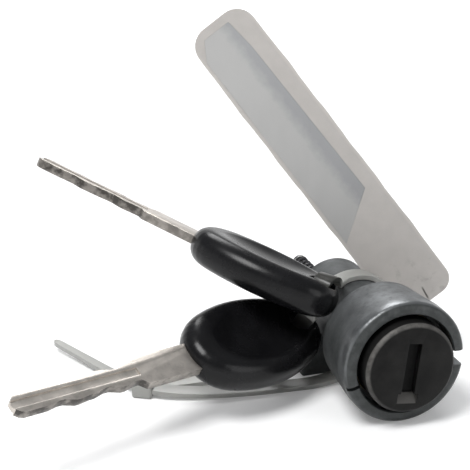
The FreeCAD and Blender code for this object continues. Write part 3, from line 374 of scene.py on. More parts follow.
def label_frame():
    """The label's own axes: across it, up it and out of its face."""
    up = Vector((-0.5348, 0.3266, 0.7779)).normalized()
    out = Vector((-0.316, -0.933, 0.174))
    out = (out - up * out.dot(up)).normalized()
    turned = Matrix((up.cross(out), up, out)).transposed().to_4x4()
    return Matrix.Translation(LABEL_MIDDLE) @ turned


# Painted shade on the strap: middles in metres and reaches in millimetres, between the key heads and around the
# upper key head's hole.
STRAP_SHADE_SPOTS = ((mm(-22.0, 33.0, -2.0), 14.5), (mm(-12.5, 23.5, 13.0), 7.4))


# Materials

class Nodes:
    """Short ways to add shader nodes to a node tree."""

    def __init__(self, tree):
        self.tree = tree

    def node(self, kind, **values):
        item = self.tree.nodes.new(kind)
        for key, value in values.items():
            setattr(item, key, value)
        return item

    def link(self, start, stop):
        self.tree.links.new(start, stop)

    def math(self, operation, first, second=None, third=None, clamp=False):
        item = self.node("ShaderNodeMath", operation=operation, use_clamp=clamp)
        for index, value in enumerate((first, second, third)):
            if value is None:
                continue
            if isinstance(value, (int, float)):
                item.inputs[index].default_value = value
            else:
                self.link(value, item.inputs[index])
        return item.outputs[0]

    def rise(self, value, start, slope):
        """Zero at a start and a slope per unit from there, kept between zero and one."""
        return self.math("MULTIPLY", self.math("SUBTRACT", value, start), slope, clamp=True)

    def band(self, value, low, high, soft):
        """One between two limits, fading to nothing over a soft edge."""
        return self.math("MULTIPLY", self.rise(value, low, 1.0 / soft),
                         self.rise(value, high, -1.0 / soft))

    def most(self, first, *others):
        """The greatest of a few values."""
        for other in others:
            first = self.math("MAXIMUM", first, other)
        return first

    def plainly_seen(self):
        """One for rays to the camera, straight, reflected or through something clear."""
        seen = self.node("ShaderNodeLightPath").outputs
        return self.most(seen["Is Camera Ray"], seen["Is Glossy Ray"],
                         seen["Is Transmission Ray"])

    def ramp(self, value, stops):
        """A value turned into another through (place, level) stops."""
        item = self.node("ShaderNodeValToRGB")
        elements = item.color_ramp.elements
        while len(elements) < len(stops):
            elements.new(0.5)
        for element, (place, level) in zip(elements, stops):
            element.position = place
            element.color = (level, level, level, 1.0)
        self.link(value, item.inputs["Fac"])
        return item.outputs["Color"]

    def mix(self, share, first, second):
        item = self.node("ShaderNodeMix", data_type="RGBA")
        for socket, value in ((item.inputs["Factor"], share), (item.inputs["A"], first),
                              (item.inputs["B"], second)):
            if hasattr(value, "is_output"):
                self.link(value, socket)
            elif isinstance(value, (int, float)):
                socket.default_value = value
            else:
                socket.default_value = (*value[:3], 1.0)
        return item.outputs["Result"]


class Finish(Nodes):
    """A material with the few node chains that the finishes share."""

    def __init__(self, name):
        self.material = bpy.data.materials.new(name)
        self.material.use_nodes = True
        super().__init__(self.material.node_tree)
        self.shader = self.tree.nodes["Principled BSDF"]
        self.place = self.node("ShaderNodeTexCoord").outputs["Object"]

    def set(self, **values):
        """Plain values for the shader's inputs."""
        for key, value in values.items():
            self.shader.inputs[key.replace("_", " ")].default_value = value

    def drive(self, **sources):
        """Linked values for the shader's inputs."""
        for key, source in sources.items():
            self.link(source, self.shader.inputs[key.replace("_", " ")])

    def noise(self, scale, detail=4.0, rough=0.55, stretch=None):
        item = self.node("ShaderNodeTexNoise")
        for key, value in (("Scale", scale), ("Detail", detail), ("Roughness", rough)):
            item.inputs[key].default_value = value
        source = self.place
        if stretch:
            mapping = self.node("ShaderNodeMapping")
            mapping.inputs["Scale"].default_value = stretch
            self.link(source, mapping.inputs["Vector"])
            source = mapping.outputs["Vector"]
        self.link(source, item.inputs["Vector"])
        return item.outputs["Fac"]

    def cloudy(self, cloud, base, low, high):
        """A colour between two shares of itself, as a cloud goes."""
        return self.mix(cloud, [value * low for value in base], [value * high for value in base])

    def bump(self, height, strength, distance):
        item = self.node("ShaderNodeBump")
        item.inputs["Strength"].default_value = strength
        item.inputs["Distance"].default_value = distance
        self.link(height, item.inputs["Height"])
        self.drive(Normal=item.outputs["Normal"])

    def radius(self):
        """Distance from the barrel's axis in millimetres, and the place's three axes."""
        item = self.node("ShaderNodeSeparateXYZ")
        self.link(self.place, item.inputs[0])
        square = self.math("ADD", self.math("MULTIPLY", item.outputs["X"], item.outputs["X"]),
                           self.math("MULTIPLY", item.outputs["Z"], item.outputs["Z"]))
        return self.math("MULTIPLY", self.math("SQRT", square), 1000.0), item


def cast_zinc():
    """Bluish grey casting, mottled, with greasy smudges; painted shade inside the ring, on its underside and on
    its left side next to the key heads, a painted dark reflection on the ring's face, and darker mottling on the
    drum.
    """
    finish = Finish("cast_zinc")
    look = colours()
    cloud = finish.noise(150.0, 6.0, 0.62)
    grain = finish.noise(1400.0, 3.0)
    base = finish.cloudy(finish.ramp(cloud, [(0.34, 0.0), (0.66, 1.0)]), look.zinc, 0.6, 1.1)
    smudge = finish.ramp(finish.noise(520.0, 5.0, 0.6), [(0.5, 0.0), (0.72, 0.45)])
    patchy = finish.ramp(finish.noise(330.0, 6.0, 0.65), [(0.28, 0.76), (0.6, 1.0)])
    radius, axes = finish.radius()
    along = finish.math("MULTIPLY", axes.outputs["Y"], 1000.0)
    height = finish.math("MULTIPLY", axes.outputs["Z"], 1000.0)
    left = finish.math("MULTIPLY", axes.outputs["X"], 350.0)
    # Painted dark reflection on the ring's front face.
    face = finish.math("MULTIPLY", finish.rise(along, -0.3, -1.1),
                       finish.band(radius, 12.0, RING_RADIUS + 0.2, 0.7))
    # Painted shade inside the ring's bore.
    inside = finish.math("MULTIPLY", finish.band(radius, 7.0, RING_BORE + 0.13, 0.1),
                         finish.rise(along, 6.0, -1.0))
    # Painted shade on the underside, darker towards the bottom left.
    under = finish.rise(finish.math("ADD", height, left), 1.5, -0.085)
    # Darker mottling on the drum.
    drum = finish.math("MULTIPLY", finish.rise(along, 17.0, 0.3),
                       finish.ramp(cloud, [(0.35, 0.85), (0.7, 0.5)]))
    # Painted shadow of the key heads on the left side of the sleeve.
    side = finish.math("MULTIPLY", finish.rise(left, -2.6, -0.32), finish.rise(along, 1.5, 0.4))
    # Painted shade and reflection, made patchy, with the grease smudges added on top; one dark colour fills them
    # all.
    dark = finish.math("MULTIPLY", finish.most(face, inside, under, drum, side), patchy)
    dark = finish.most(dark, smudge)
    rough = finish.math("MULTIPLY_ADD", finish.rise(along, 0.6, 0.5), 0.18, 0.25)
    rough = finish.math("MULTIPLY_ADD", dark, 0.12, rough)
    finish.drive(Base_Color=finish.mix(dark, base, look.grease_and_shade),
                 Metallic=finish.math("MULTIPLY_ADD", dark, -0.72, 0.9),
                 Roughness=finish.math("MULTIPLY_ADD", cloud, 0.14, rough))
    finish.bump(finish.math("ADD", grain, finish.math("MULTIPLY", cloud, 1.5)), 0.4, 0.00014)
    return finish.material


def dark_face():
    """Blackened face with fine turning marks, a rubbed rim lit towards the upper left as a painted highlight, and
    a lighter ramp at the slot.
    """
    finish = Finish("dark_face")
    look = colours()
    radius = finish.radius()[0]
    turned = finish.node("ShaderNodeVectorRotate", rotation_type="Y_AXIS")
    turned.inputs["Angle"].default_value = -PLUG_TILT
    finish.link(finish.place, turned.inputs["Vector"])
    plug = finish.node("ShaderNodeSeparateXYZ")
    finish.link(turned.outputs["Vector"], plug.inputs[0])
    side, depth, height = [finish.math("MULTIPLY", plug.outputs[axis], 1000.0) for axis in "XYZ"]
    blotch = finish.noise(600.0, 6.0, 0.62)
    rim = finish.math("MULTIPLY", finish.band(radius, CAP_RADIUS - 1.04, 12.4, 0.5),
                      finish.ramp(blotch, [(0.3, 0.45), (0.62, 1.0)]))
    # Painted highlight: the rim gets lighter towards the upper left, where the light falls.
    lit = finish.math("MULTIPLY_ADD", finish.math("SUBTRACT", height, side), 0.045, 0.5,
                      clamp=True)
    rim = finish.math("MULTIPLY", finish.math("MULTIPLY", rim, lit),
                      finish.rise(depth, -3.7, -4.0))
    # Lighter ramp below the slot.
    ramp = finish.math("MULTIPLY", finish.band(height, -9.35, 0.1 - SLOT_HALF_HEIGHT, 0.25),
                       finish.band(side, -RAMP_HALF_WIDTH - 0.15, RAMP_HALF_WIDTH + 0.15, 0.1))
    ramp = finish.math("MULTIPLY", ramp, finish.rise(depth, FACE + 0.02, 12.0))
    cloud = finish.ramp(finish.noise(170.0, 4.0), [(0.35, 0.0), (0.7, 0.07)])
    wear_and_highlight = finish.most(rim, finish.math("MULTIPLY", ramp, 0.55), cloud)
    finish.set(Metallic=0.4, Specular_IOR_Level=0.2)
    finish.drive(Base_Color=finish.mix(wear_and_highlight, look.face, look.wear_and_highlight),
                 Roughness=finish.math("MULTIPLY_ADD", blotch, 0.25, 0.38))
    rings = finish.math("SINE", finish.math("MULTIPLY", radius, 42.0))
    finish.bump(finish.math("MULTIPLY_ADD", rings, 0.35, blotch), 0.25, 0.00006)
    return finish.material


def plain_metal(name, base, rough):
    """Turned or stamped metal with faint cloud and grain."""
    finish = Finish(name)
    cloud = finish.noise(260.0, 5.0)
    finish.set(Metallic=0.95)
    finish.drive(Base_Color=finish.cloudy(finish.ramp(cloud, [(0.3, 0.0), (0.7, 1.0)]),
                                          base, 0.8, 1.1),
                 Roughness=finish.math("MULTIPLY_ADD", cloud, 0.18, rough - 0.09))
    finish.bump(finish.math("ADD", finish.noise(1800.0, 2.0), cloud), 0.15, 0.00005)
    return finish.material


def black_plastic():
    """Moulded black plastic, half glossy, with faint handling marks."""
    finish = Finish("black_plastic")
    smear = finish.noise(120.0, 4.0, 0.6)
    fine = finish.noise(2600.0, 2.0)
    finish.set(Specular_IOR_Level=0.22)
    finish.drive(Base_Color=finish.cloudy(finish.ramp(smear, [(0.35, 0.0), (0.75, 1.0)]),
                                          colours().plastic, 1.0, 1.9),
                 Roughness=finish.math("MULTIPLY_ADD", smear, 0.18, 0.17))
    finish.bump(finish.math("MULTIPLY_ADD", smear, 0.6, fine), 0.12, 0.00004)
    return finish.material


def nickel_blade():
    """Warm grey plating, scratched lengthwise, with dirt in patches and its narrow sides darkened in patches as
    painted shade.
    """
    finish = Finish("nickel_blade")
    cloud = finish.noise(240.0, 5.0, 0.6)
    base = finish.cloudy(finish.ramp(cloud, [(0.3, 0.0), (0.7, 1.0)]),
                         colours().nickel, 0.8, 1.12)
    # Faces on the blade's narrow sides, darkened in patches as painted shade.
    side = finish.node("ShaderNodeAttribute", attribute_name="shaded_side").outputs["Fac"]
    patch = finish.ramp(finish.noise(300.0, 3.0, 0.6), [(0.42, 1.0), (0.58, 0.6)])
    dirt_and_shade = finish.ramp(finish.noise(430.0, 6.0, 0.66), [(0.52, 0.0), (0.75, 0.3)])
    dirt_and_shade = finish.most(dirt_and_shade, finish.math("MULTIPLY", side, patch))
    finish.drive(Base_Color=finish.mix(dirt_and_shade, base, (0.035, 0.031, 0.027)),
                 Metallic=finish.math("MULTIPLY_ADD", dirt_and_shade, -0.5, 0.9),
                 Roughness=finish.math("MULTIPLY_ADD", cloud, 0.2, 0.26))
    finish.bump(finish.math("ADD", finish.noise(1500.0, 3.0), dirt_and_shade), 0.2, 0.00006)
    return finish.material


def clear_nylon():
    """Whitish nylon that lets some light through, darkened as painted shade between the two key heads and around
    the upper key head's hole.
    """
    finish = Finish("clear_nylon")
    base = finish.cloudy(finish.noise(300.0, 3.0), colours().nylon, 0.9, 1.0)
    # Painted shade darkens the strap near these spots.
    strap_shade = 0.0
    for middle, reach in STRAP_SHADE_SPOTS:
        span = finish.node("ShaderNodeVectorMath", operation="DISTANCE")
        finish.link(finish.place, span.inputs[0])
        span.inputs[1].default_value = middle
        near = finish.math("MULTIPLY", span.outputs["Value"], 1000.0)
        strap_shade = finish.most(strap_shade, finish.rise(near, reach, -0.5))
    finish.set(Roughness=0.36, Transmission_Weight=0.4, IOR=1.5)
    finish.drive(Base_Color=finish.mix(strap_shade, base, (0.03, 0.03, 0.025)))
    finish.bump(finish.noise(900.0, 2.0), 0.08, 0.00005)
    return finish.material


def across_label(finish):
    """Places across and up the label, in millimetres."""
    turned = label_frame().to_3x3()
    offset = finish.node("ShaderNodeVectorMath", operation="SUBTRACT")
    finish.link(finish.place, offset.inputs[0])
    offset.inputs[1].default_value = LABEL_MIDDLE
    places = []
    for axis in (turned.col[0], turned.col[1]):
        item = finish.node("ShaderNodeVectorMath", operation="DOT_PRODUCT")
        finish.link(offset.outputs["Vector"], item.inputs[0])
        item.inputs[1].default_value = axis * 1000.0
        places.append(item.outputs["Value"])
    return places


def label_film():
    """Hazy film, warm grey, with soft streaks, a paler edge, dirty smears near the foot and a nick darkened as
    painted shade.
    """
    finish = Finish("label_film")
    look = colours()
    side, height = across_label(finish)
    base = finish.cloudy(finish.noise(210.0, 4.0, 0.6), look.film, 0.88, 1.1)
    edge = finish.math("SUBTRACT", 1.0, finish.band(side, LABEL_LEFT + 0.2, LABEL_RIGHT - 0.2, 0.5))
    base = finish.mix(finish.math("MULTIPLY", edge, 0.5), base,
                      [value * 1.22 for value in look.film])
    # Painted shade: the nick is drawn as a dark slanted line near the label's foot.
    lean = finish.math("SUBTRACT", side, finish.math("MULTIPLY_ADD", height, 0.14, 7.0))
    nick = finish.math("MULTIPLY", finish.band(lean, -0.32, 0.32, 0.2),
                       finish.band(height, -7.6, -3.7, 0.9))
    smear = finish.ramp(finish.noise(330.0, 5.0, 0.65), [(0.55, 0.0), (0.75, 0.35)])
    smear = finish.math("MULTIPLY", smear, finish.rise(height, 9.0, -0.12))
    dirt_and_shade = finish.most(finish.math("MULTIPLY", nick, 0.85), smear)
    finish.set(Roughness=0.38, Coat_Weight=0.25, Coat_Roughness=0.25)
    finish.drive(Base_Color=finish.mix(dirt_and_shade, base, (0.07, 0.066, 0.06)))
    finish.bump(finish.noise(90.0, 3.0), 0.3, 0.0003)
    return finish.material


def label_slip():
    """Grey paper under the film, darker towards its right edge and paler near its top."""
    finish = Finish("label_slip")
    side, height = across_label(finish)
    streak = finish.noise(90.0, 5.0, 0.6, stretch=(1.0, 1.0, 0.35))
    wander = finish.math("MULTIPLY", finish.noise(420.0, 3.0, 0.6), 3.0)
    stripe = finish.band(finish.math("ADD", side, wander), 6.6, 16.0, 3.0)
    level = finish.math("MULTIPLY_ADD", streak, 0.22, 0.86)
    for mask, share in ((stripe, -0.13), (finish.rise(height, 44.0, -0.03), -0.10),
                        (finish.rise(height, 50.0, 0.03), 0.05)):
        level = finish.math("MULTIPLY_ADD", mask, share, level)
    tone = finish.mix(stripe, colours().slip, (0.35, 0.355, 0.36))
    finish.set(Roughness=0.45, Coat_Weight=0.25, Coat_Roughness=0.25)
    finish.drive(Base_Color=finish.mix(level, (0.0, 0.0, 0.0), tone))
    finish.bump(finish.noise(90.0, 3.0), 0.25, 0.0003)
    return finish.material


def shade_black_steel():
    """Steel behind the key slot, black as painted shade, faintly mottled."""
    finish = Finish("shade_black_steel")
    mottle = finish.noise(500.0, 4.0)
    finish.set(Metallic=0.2, Roughness=0.7, Specular_IOR_Level=0.15)
    finish.drive(Base_Color=finish.mix(mottle, (0.004, 0.004, 0.004), (0.009, 0.009, 0.009)))
    finish.bump(mottle, 0.2, 0.00008)
    return finish.material


MATERIALS = {}


def material(slot):
    """The material of a slot, made the first time that it is asked for."""
    makers = {
        "cast_zinc": cast_zinc,
        "dark_face": dark_face,
        "brass_plug": lambda: plain_metal("brass_plug", (0.55, 0.43, 0.20), 0.36),
        "wafer_brass": lambda: plain_metal("wafer_brass", (0.60, 0.48, 0.24), 0.32),
        "bright_steel": lambda: plain_metal("bright_steel", (0.50, 0.50, 0.49), 0.32),
        "dark_steel": lambda: plain_metal("dark_steel", (0.055, 0.055, 0.06), 0.36),
        "black_plastic": black_plastic,
        "nickel_blade": nickel_blade,
        "clear_nylon": clear_nylon,
        "shade_black_steel": shade_black_steel,
        "label_film": label_film,
        "label_slip": label_slip,
    }
    if slot not in MATERIALS:
        MATERIALS[slot] = makers[slot]()
    return MATERIALS[slot]


# Pieces

class LOCK_OT_finish_nodes(bpy.types.Operator):
    """Give every piece of the construction model its own finish"""
    bl_idname = "lock.finish_nodes"
    bl_label = "Finish the inner pieces"

    def execute(self, context):
        slots = {item["node"]: item["material_slot"] for item in frame["record"]["subparts"]}
        for name, node in NODES.items():
            node.data.materials.clear()
            # The shutter, its pin and its spring sit in shade behind the key slot and are made black as painted
            # shade.
            hidden = name in ("dust_shutter", "shutter_pin", "shutter_spring")
            node.data.materials.append(material("shade_black_steel" if hidden else slots[name]))
        return {"FINISHED"}


class LOCK_OT_housing(bpy.types.Operator):
    """Turn the die-cast housing and cut its notches, guide block and bolt channel"""
    bl_idname = "lock.housing"
    bl_label = "Housing"

    def execute(self, context):
        edge = sizes().ring_edge / MM
        profile = [(RING_BORE, FRONT + edge), (RING_BORE + edge, FRONT)]
        profile += arc(RING_RADIUS - NOSE_ROUND, FRONT + NOSE_ROUND, NOSE_ROUND, -90.0, 0.0, 8)
        profile += [(RING_RADIUS, RING_REAR), (14.93, 14.8), (SLEEVE_REAR_RADIUS, 15.6)]
        profile += arc(SLEEVE_REAR_RADIUS - SLEEVE_ROUND, SLEEVE_REAR - SLEEVE_ROUND,
                       SLEEVE_ROUND, 0.0, 90.0, 5)
        profile += [(DRUM_RADIUS + 0.5, SLEEVE_REAR), (DRUM_RADIUS + 0.15, SLEEVE_REAR + 0.15),
                    (DRUM_RADIUS, SLEEVE_REAR + 0.5), (DRUM_RADIUS, DRUM_REAR),
                    (PLUG_BORE, DRUM_REAR), (PLUG_BORE, GROOVE_REAR),
                    (GROOVE_RADIUS, GROOVE_REAR), (GROOVE_RADIUS, GROOVE_FRONT),
                    (PLUG_BORE, GROOVE_FRONT), (PLUG_BORE, HEAD_REAR), (HEAD_BORE, HEAD_REAR),
                    (HEAD_BORE, RING_FLOOR), (RING_BORE, RING_FLOOR)]
        housing = turn("housing_casting", profile)
        corners = [(GUIDE_LEFT, TABLE), (GUIDE_RIGHT, TABLE), (GUIDE_RIGHT, GUIDE_SHOULDER),
                   (GUIDE_NECK, -4.0), (-GUIDE_NECK, -4.0), (GUIDE_LEFT, GUIDE_SHOULDER)]
        guide = slab("guide_block", [(x, GUIDE_FRONT, z) for x, z in corners],
                     (0.0, DRUM_REAR - GUIDE_FRONT, 0.0))
        soften(guide, 0.0006, 50.0, 3)
        combine(guide, rod("bore_cutter", PLUG_BORE, 25.0, 50.0))
        combine(housing, guide, "UNION")
        low, high = (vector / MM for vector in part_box("lock_bolt"))
        combine(housing, block("channel_cutter", (-11.53, low.y - 0.1, low.z - 0.1),
                               (13.0, 46.0, high.z + 0.1)))
        combine(housing, block("yoke_cutter", (-8.6, 40.7, -10.1), (8.6, 46.0, -3.0)))
        for name, rear, half, degrees in (("notch_cutter", 5.25, 2.1, 2.2),
                                          ("slit_cutter", -0.15, 0.45, -198.8)):
            cutter = block(name, (CAP_RADIUS, -3.0, -half), (17.5, rear, half))
            combine(housing, put(cutter, rotation(degrees, "Y")))
        smooth(housing, 30.0)
        finish_piece(housing, "housing", "cast_zinc", ["barrel_housing"])
        return {"FINISHED"}


class LOCK_OT_face(bpy.types.Operator):
    """Turn the dark face cap and cut its key slot, ramp and shutter room"""
    bl_idname = "lock.face"
    bl_label = "Key face"

    def execute(self, context):
        cap = turn("key_face_cap", [(0.0, FACE), (CAP_RADIUS - 1.0, FACE), (11.1, -4.82),
                                    (11.6, -4.3), (CAP_RADIUS, -3.9), (CAP_RADIUS, CAP_REAR),
                                    (0.0, CAP_REAR)])
        combine(cap, block("slot_cutter", (-SLOT_HALF_WIDTH, -6.0, -SLOT_HALF_HEIGHT),
                           (SLOT_HALF_WIDTH, -3.0, SLOT_HALF_HEIGHT)))
        corners = ((FACE - 0.01, -6.6), (FACE - 0.01, -9.25), (-3.45, -6.6))
        combine(cap, slab("ramp_cutter", [(-RAMP_HALF_WIDTH, y, z) for y, z in corners],
                          (2 * RAMP_HALF_WIDTH, 0.0, 0.0)))
        combine(cap, block("room_cutter", (-4.5, -3.25, -7.15), (2.6, 3.0, 7.15)))
        soften(cap, sizes().cap_edge, 60.0, 2)
        put(cap, Matrix.Rotation(PLUG_TILT, 4, "Y"))
        smooth(cap, 28.0)
        finish_piece(cap, "plug", "dark_face", ["face_cap"])
        return {"FINISHED"}


def key_frame(name):
    """A key's own axes and middle, from its hinge in the record."""
    joint = next(item for item in frame["joints"] if item["child"] == name)
    heading, dip, roll = KEY_POSES[name]
    turned = rotation(heading, "Z") @ rotation(dip, "Y") @ rotation(roll, "X")
    middle = Vector(joint["pos_m"]) - turned @ mm(KEY_HOLE, 0.0, 0.0)
    return Matrix.Translation(middle) @ turned


def head_outline(steps=12):
    """Corners of a key head's egg of four arcs, going round from its end with the hole."""
    hole_end, root_end, side, hole_radius, root_radius = 11.4, -9.6, 36.0, 9.6, 11.4
    across = ((hole_end ** 2 - root_end ** 2 - (side - hole_radius) ** 2
               + (side - root_radius) ** 2) / (2 * (hole_end - root_end)))
    drop = math.sqrt((side - hole_radius) ** 2 - (across - hole_end) ** 2)
    first = math.degrees(math.atan2(drop, hole_end - across))
    second = math.degrees(math.atan2(drop, root_end - across))
    points = arc(hole_end, 0.0, hole_radius, -first, first, steps)[:-1]
    points += arc(across, -drop, side, first, second, steps * 2)[:-1]
    points += arc(root_end, 0.0, root_radius, second, 360.0 - second, steps)[:-1]
    points += arc(across, drop, side, 360.0 - second, 360.0 - first, steps * 2)[:-1]
    return points


def dish_cutter(side):
    """A broad shallow dome that presses the thumb dish into one face of a key head."""
    deselect()
    bpy.ops.mesh.primitive_uv_sphere_add(segments=64, ring_count=96, radius=1.0,
                                         location=mm(0.5, 0.0, side * (KEY_HEAD_HALF + 10.5)),
                                         scale=mm(30.0, 17.2, 12.0))
    return set_in_place(name_new("dish_cutter"))


class LOCK_OT_keys(bpy.types.Operator):
    """Mould the two key heads and cut the two key blades"""
    bl_idname = "lock.keys"
    bl_label = "Keys"

    def execute(self, context):
        for name in ("lower_key", "upper_key"):
            self.head(name)
            self.blade(name)
        return {"FINISHED"}

    def head(self, name):
        head = slab(name + "_head_moulding", [(x, y, -KEY_HEAD_HALF) for x, y in head_outline()],
                    (0.0, 0.0, 2 * KEY_HEAD_HALF))
        modify(head, "BEVEL", width=0.0043, segments=10, limit_method="ANGLE",
               angle_limit=math.radians(60))
        for side in (1.0, -1.0):
            combine(head, dish_cutter(side))
        deselect()
        bpy.ops.mesh.primitive_cylinder_add(vertices=48, radius=KEY_HOLE_RADIUS * MM, depth=0.02,
                                            location=mm(KEY_HOLE, 0.0, 0.0))
        combine(head, set_in_place(name_new("hole_cutter")))
        head.data.remesh_voxel_size = 0.00034
        only(head)
        bpy.ops.object.voxel_remesh()
        modify(head, "SMOOTH", factor=0.5, iterations=9)
        combine(head, block("root_cutter", (-25.0, -4.27, -1.22), (-9.0, 4.27, 1.22)))
        smooth(head, 40.0)
        put(head, key_frame(name))
        finish_piece(head, name, "black_plastic", [name + "_head"])

    def blade(self, name):
        above = [0.8, 1.5, 0.7, 1.2, 1.6, 0.9, 1.4]
        below = [1.2, 0.6, 1.6, 0.9, 0.5, 1.5, 1.0]
        pitch = CUTS_SPAN / len(above)
        upper = [(SHANK_START, SHANK_HALF), (SHANK_END, SHANK_HALF)]
        lower = [(SHANK_START, -SHANK_HALF), (SHANK_END, -SHANK_HALF)]
        for index, (up, down) in enumerate(zip(above, below)):
            for side in (0.7, -0.7):
                place = CUTS_START - pitch * index + side
                upper.append((place, CUTS_HALF - up))
                lower.append((place, down - CUTS_HALF))
        point = [(-70.2, 2.75), (-71.4, 2.3), (-72.3, 1.4), (-72.6, 0.5)]
        point += [(x, -y) for x, y in point[::-1]]
        outline = [(x, y, -BLADE_HALF) for x, y in upper + point + lower[::-1]]
        blade = slab(name + "_blade_milled", outline, (0.0, 0.0, 2 * BLADE_HALF))
        for middle in (1.25, -1.25):
            combine(blade, block("groove_cutter", (-74.6, -1.1, middle - 0.6),
                                 (-37.0, 1.1, middle + 0.6)))
        soften(blade, sizes().blade_edge, 30.0, 2)
        smooth(blade, 30.0)
        # Mark the blade's narrow sides for painted shade, more along the cuts than along the shank.
        cut = blade.data.attributes.new("shaded_side", "FLOAT", "FACE")
        for face in blade.data.polygons:
            on_side = abs(face.normal.z) < 0.5 and abs(face.center.y) > 1.3 * MM
            cut.data[face.index].value = on_side * (0.95 if face.center.x < -36.5 * MM else 0.7)
        put(blade, key_frame(name))
        finish_piece(blade, name, "nickel_blade", [name + "_blade"])


def wind(name, radius, wire, pitch, turns):
    """A coil of round wire about the Y axis, from the origin on, in millimetres."""
    deselect()
    bpy.ops.mesh.primitive_circle_add(vertices=12, radius=wire / 2 * MM,
                                      location=mm(radius, wire / 2, 0.0))
    spring = set_in_place(name_new(name))
    modify(spring, "SCREW", axis="Y", angle=math.tau, screw_offset=pitch * MM, iterations=turns,
           steps=36, render_steps=36, use_merge_vertices=True)
    edit()
    bpy.ops.mesh.select_all(action="DESELECT")
    bpy.ops.mesh.select_non_manifold()
    bpy.ops.mesh.fill()
    face_out()
    smooth(spring, 40.0)
    return spring


class LOCK_OT_springs(bpy.types.Operator):
    """Wind the return spring on the tail spindle and the springs of the bolt and the peg"""
    bl_idname = "lock.springs"
    bl_label = "Springs"

    def execute(self, context):
        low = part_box("return_spring")[0] / MM
        spring = wind("return_spring_coil", RETURN_RADIUS, sizes().wire / MM, RETURN_PITCH,
                      RETURN_TURNS)
        put(spring, Matrix.Translation(mm(0.0, low.y, 0.0)))
        finish_piece(spring, "plug", "dark_steel", ["return_spring"])
        along = rotation(-90, "Z")
        tilt = Matrix.Rotation(PLUG_TILT, 4, "Y")
        self.pressed("bolt_spring", "housing", "bolt_slide", Matrix.Translation(
            mm(*BOLT_SPRING_PLACE)), along, BOLT_SPRING, BOLT_TRAVEL, 0.0)
        self.pressed("peg_spring", "plug", "peg_slide", tilt @ Matrix.Translation(
            mm(*PEG_SPRING_PLACE)), along, PEG_SPRING, PEG_TRAVEL, PEG_SPRING[0])
        return {"FINISHED"}

    def pressed(self, node, body, joint, place, along, form, travel, held):
        """A coil wound to its pressed length and turns, put in its place on its body."""
        length, radius, wire, turns = form
        spring = wind(node + "_coil", radius, wire, (length - wire) / turns, turns)
        put(spring, place @ along)
        finish_piece(spring, body, "dark_steel", [node])
        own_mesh(spring)


# Cable tie and label

def tie_stations():
    """Middle line of the strap in millimetres, from its head to its free tip, and how it lies."""
    table = TABLE + 0.7

    def at(x, depth, z):
        return Vector((x, depth + FRONT, z))

    first = [at(-55.5, 35.4, table + 1.2), at(-50.0, 32.2, table + 0.9),
             at(-44.0, 30.2, table + 0.6), at(-36.5, 28.8, table + 0.3), at(-28.5, 28.2, table),
             at(-20.8, 27.6, table), at(-13.6, 26.9, table + 0.2)]
    around = [at(-6.5, 27.4, table + 0.9), at(0.5, 27.8, table + 1.7),
              at(8.0, 28.3, table + 2.9), at(13.6, 30.4, table + 5.2),
              at(16.9, 33.4, table + 8.6), at(18.4, 36.3, table + 12.2),
              at(17.9, 38.0, table + 15.4)]
    seat = 11.15
    corner = at(seat * math.cos(math.radians(52)), 32.4, seat * math.sin(math.radians(52)))
    pierce = LABEL_MIDDLE / MM
    around += [pierce + (pierce - corner).normalized() * 2.6, corner]
    for degrees, depth, lift in ((64, 32.9, 0.0), (76, 33.1, 0.0), (88, 33.1, 0.0),
                                 (100, 33.0, 0.05), (111, 32.7, 0.2), (121, 32.1, 0.6)):
        angle = math.radians(degrees)
        around.append(at((seat + lift) * math.cos(angle), depth,
                         (seat + lift) * math.sin(angle)))
    upper, lower = key_frame("upper_key"), key_frame("lower_key")
    keys = [upper @ mm(KEY_HOLE + x, y, z) / MM for x, y, z in (
        (0.0, 9.3, 3.6), (0.0, 7.6, 4.65), (0.0, 5.4, 5.35), (0.0, 2.8, 5.45), (0.0, 0.9, 4.9),
        (0.0, 0.0, 3.4), (0.0, 0.0, -3.6), (-0.3, 0.7, -5.2))]
    keys += [lower @ mm(KEY_HOLE, y, z) / MM for y, z in ((-0.4, 5.4), (0.0, -5.2))]
    last = [keys[-1] + Vector((-2.2, 0.9, -2.9)), at(-26.5, 36.4, table + 1.4),
            at(-34.5, 37.0, table + 0.5), at(-43.5, 37.0, table + 0.6),
            at(-51.0, 36.8, table + 0.9), at(-56.5, 37.4, table + 1.2),
            at(-59.6, 41.0, table + 1.2), at(-62.8, 48.0, table + 1.0),
            at(-67.5, 59.5, table + 1.1), at(-72.7, 70.8, table + 1.7)]
    lies = ["flat"] * len(first) + ["round"] * len(around) + ["carried"] * len(keys)
    return first + around + keys + last, lies + ["flat"] * len(last)


def strap_edges(half_width, finer):
    """The strap's two long edges, eased through the stations."""
    points, lies = tie_stations()
    across, sides = Vector((-0.5, -0.8, 0.0)), []
    for index, (point, lie) in enumerate(zip(points, lies)):
        along = Vector()
        if index:
            along += (point - points[index - 1]).normalized()
        if index < len(points) - 1:
            along += (points[index + 1] - point).normalized()
        along.normalize()
        hint = {"flat": Vector((0.0, 0.0, 1.0)).cross(along), "round": Vector((0.0, -1.0, 0.0)),
                "carried": across}[lie]
        if hint.dot(across) < 0:
            hint = -hint
        across = (hint - along * hint.dot(along)).normalized()
        sides.append(across)
    edges = ([], [])
    last = len(points) - 1
    widths = [1.0] * (last - 3) + [0.74, 0.6, 0.5, 0.42]
    for index in range(last):
        for part in range(finer):
            share = part / finer
            for edge, sign in zip(edges, (-1.0, 1.0)):
                corners = [points[place] + sides[place] * (sign * half_width * widths[place])
                           for place in (max(index - 1, 0), index, index + 1,
                                         min(index + 2, last))]
                edge.append(eased(corners, share))
    tip = (points[last] - points[last - 1]).normalized()
    for edge, sign in zip(edges, (-1.0, 1.0)):
        for back, wide in ((1.6, 0.42), (0.7, 0.34), (0.1, 0.16)):
            edge.append(points[last] - tip * back + sides[last] * sign * half_width * wide)
    return edges


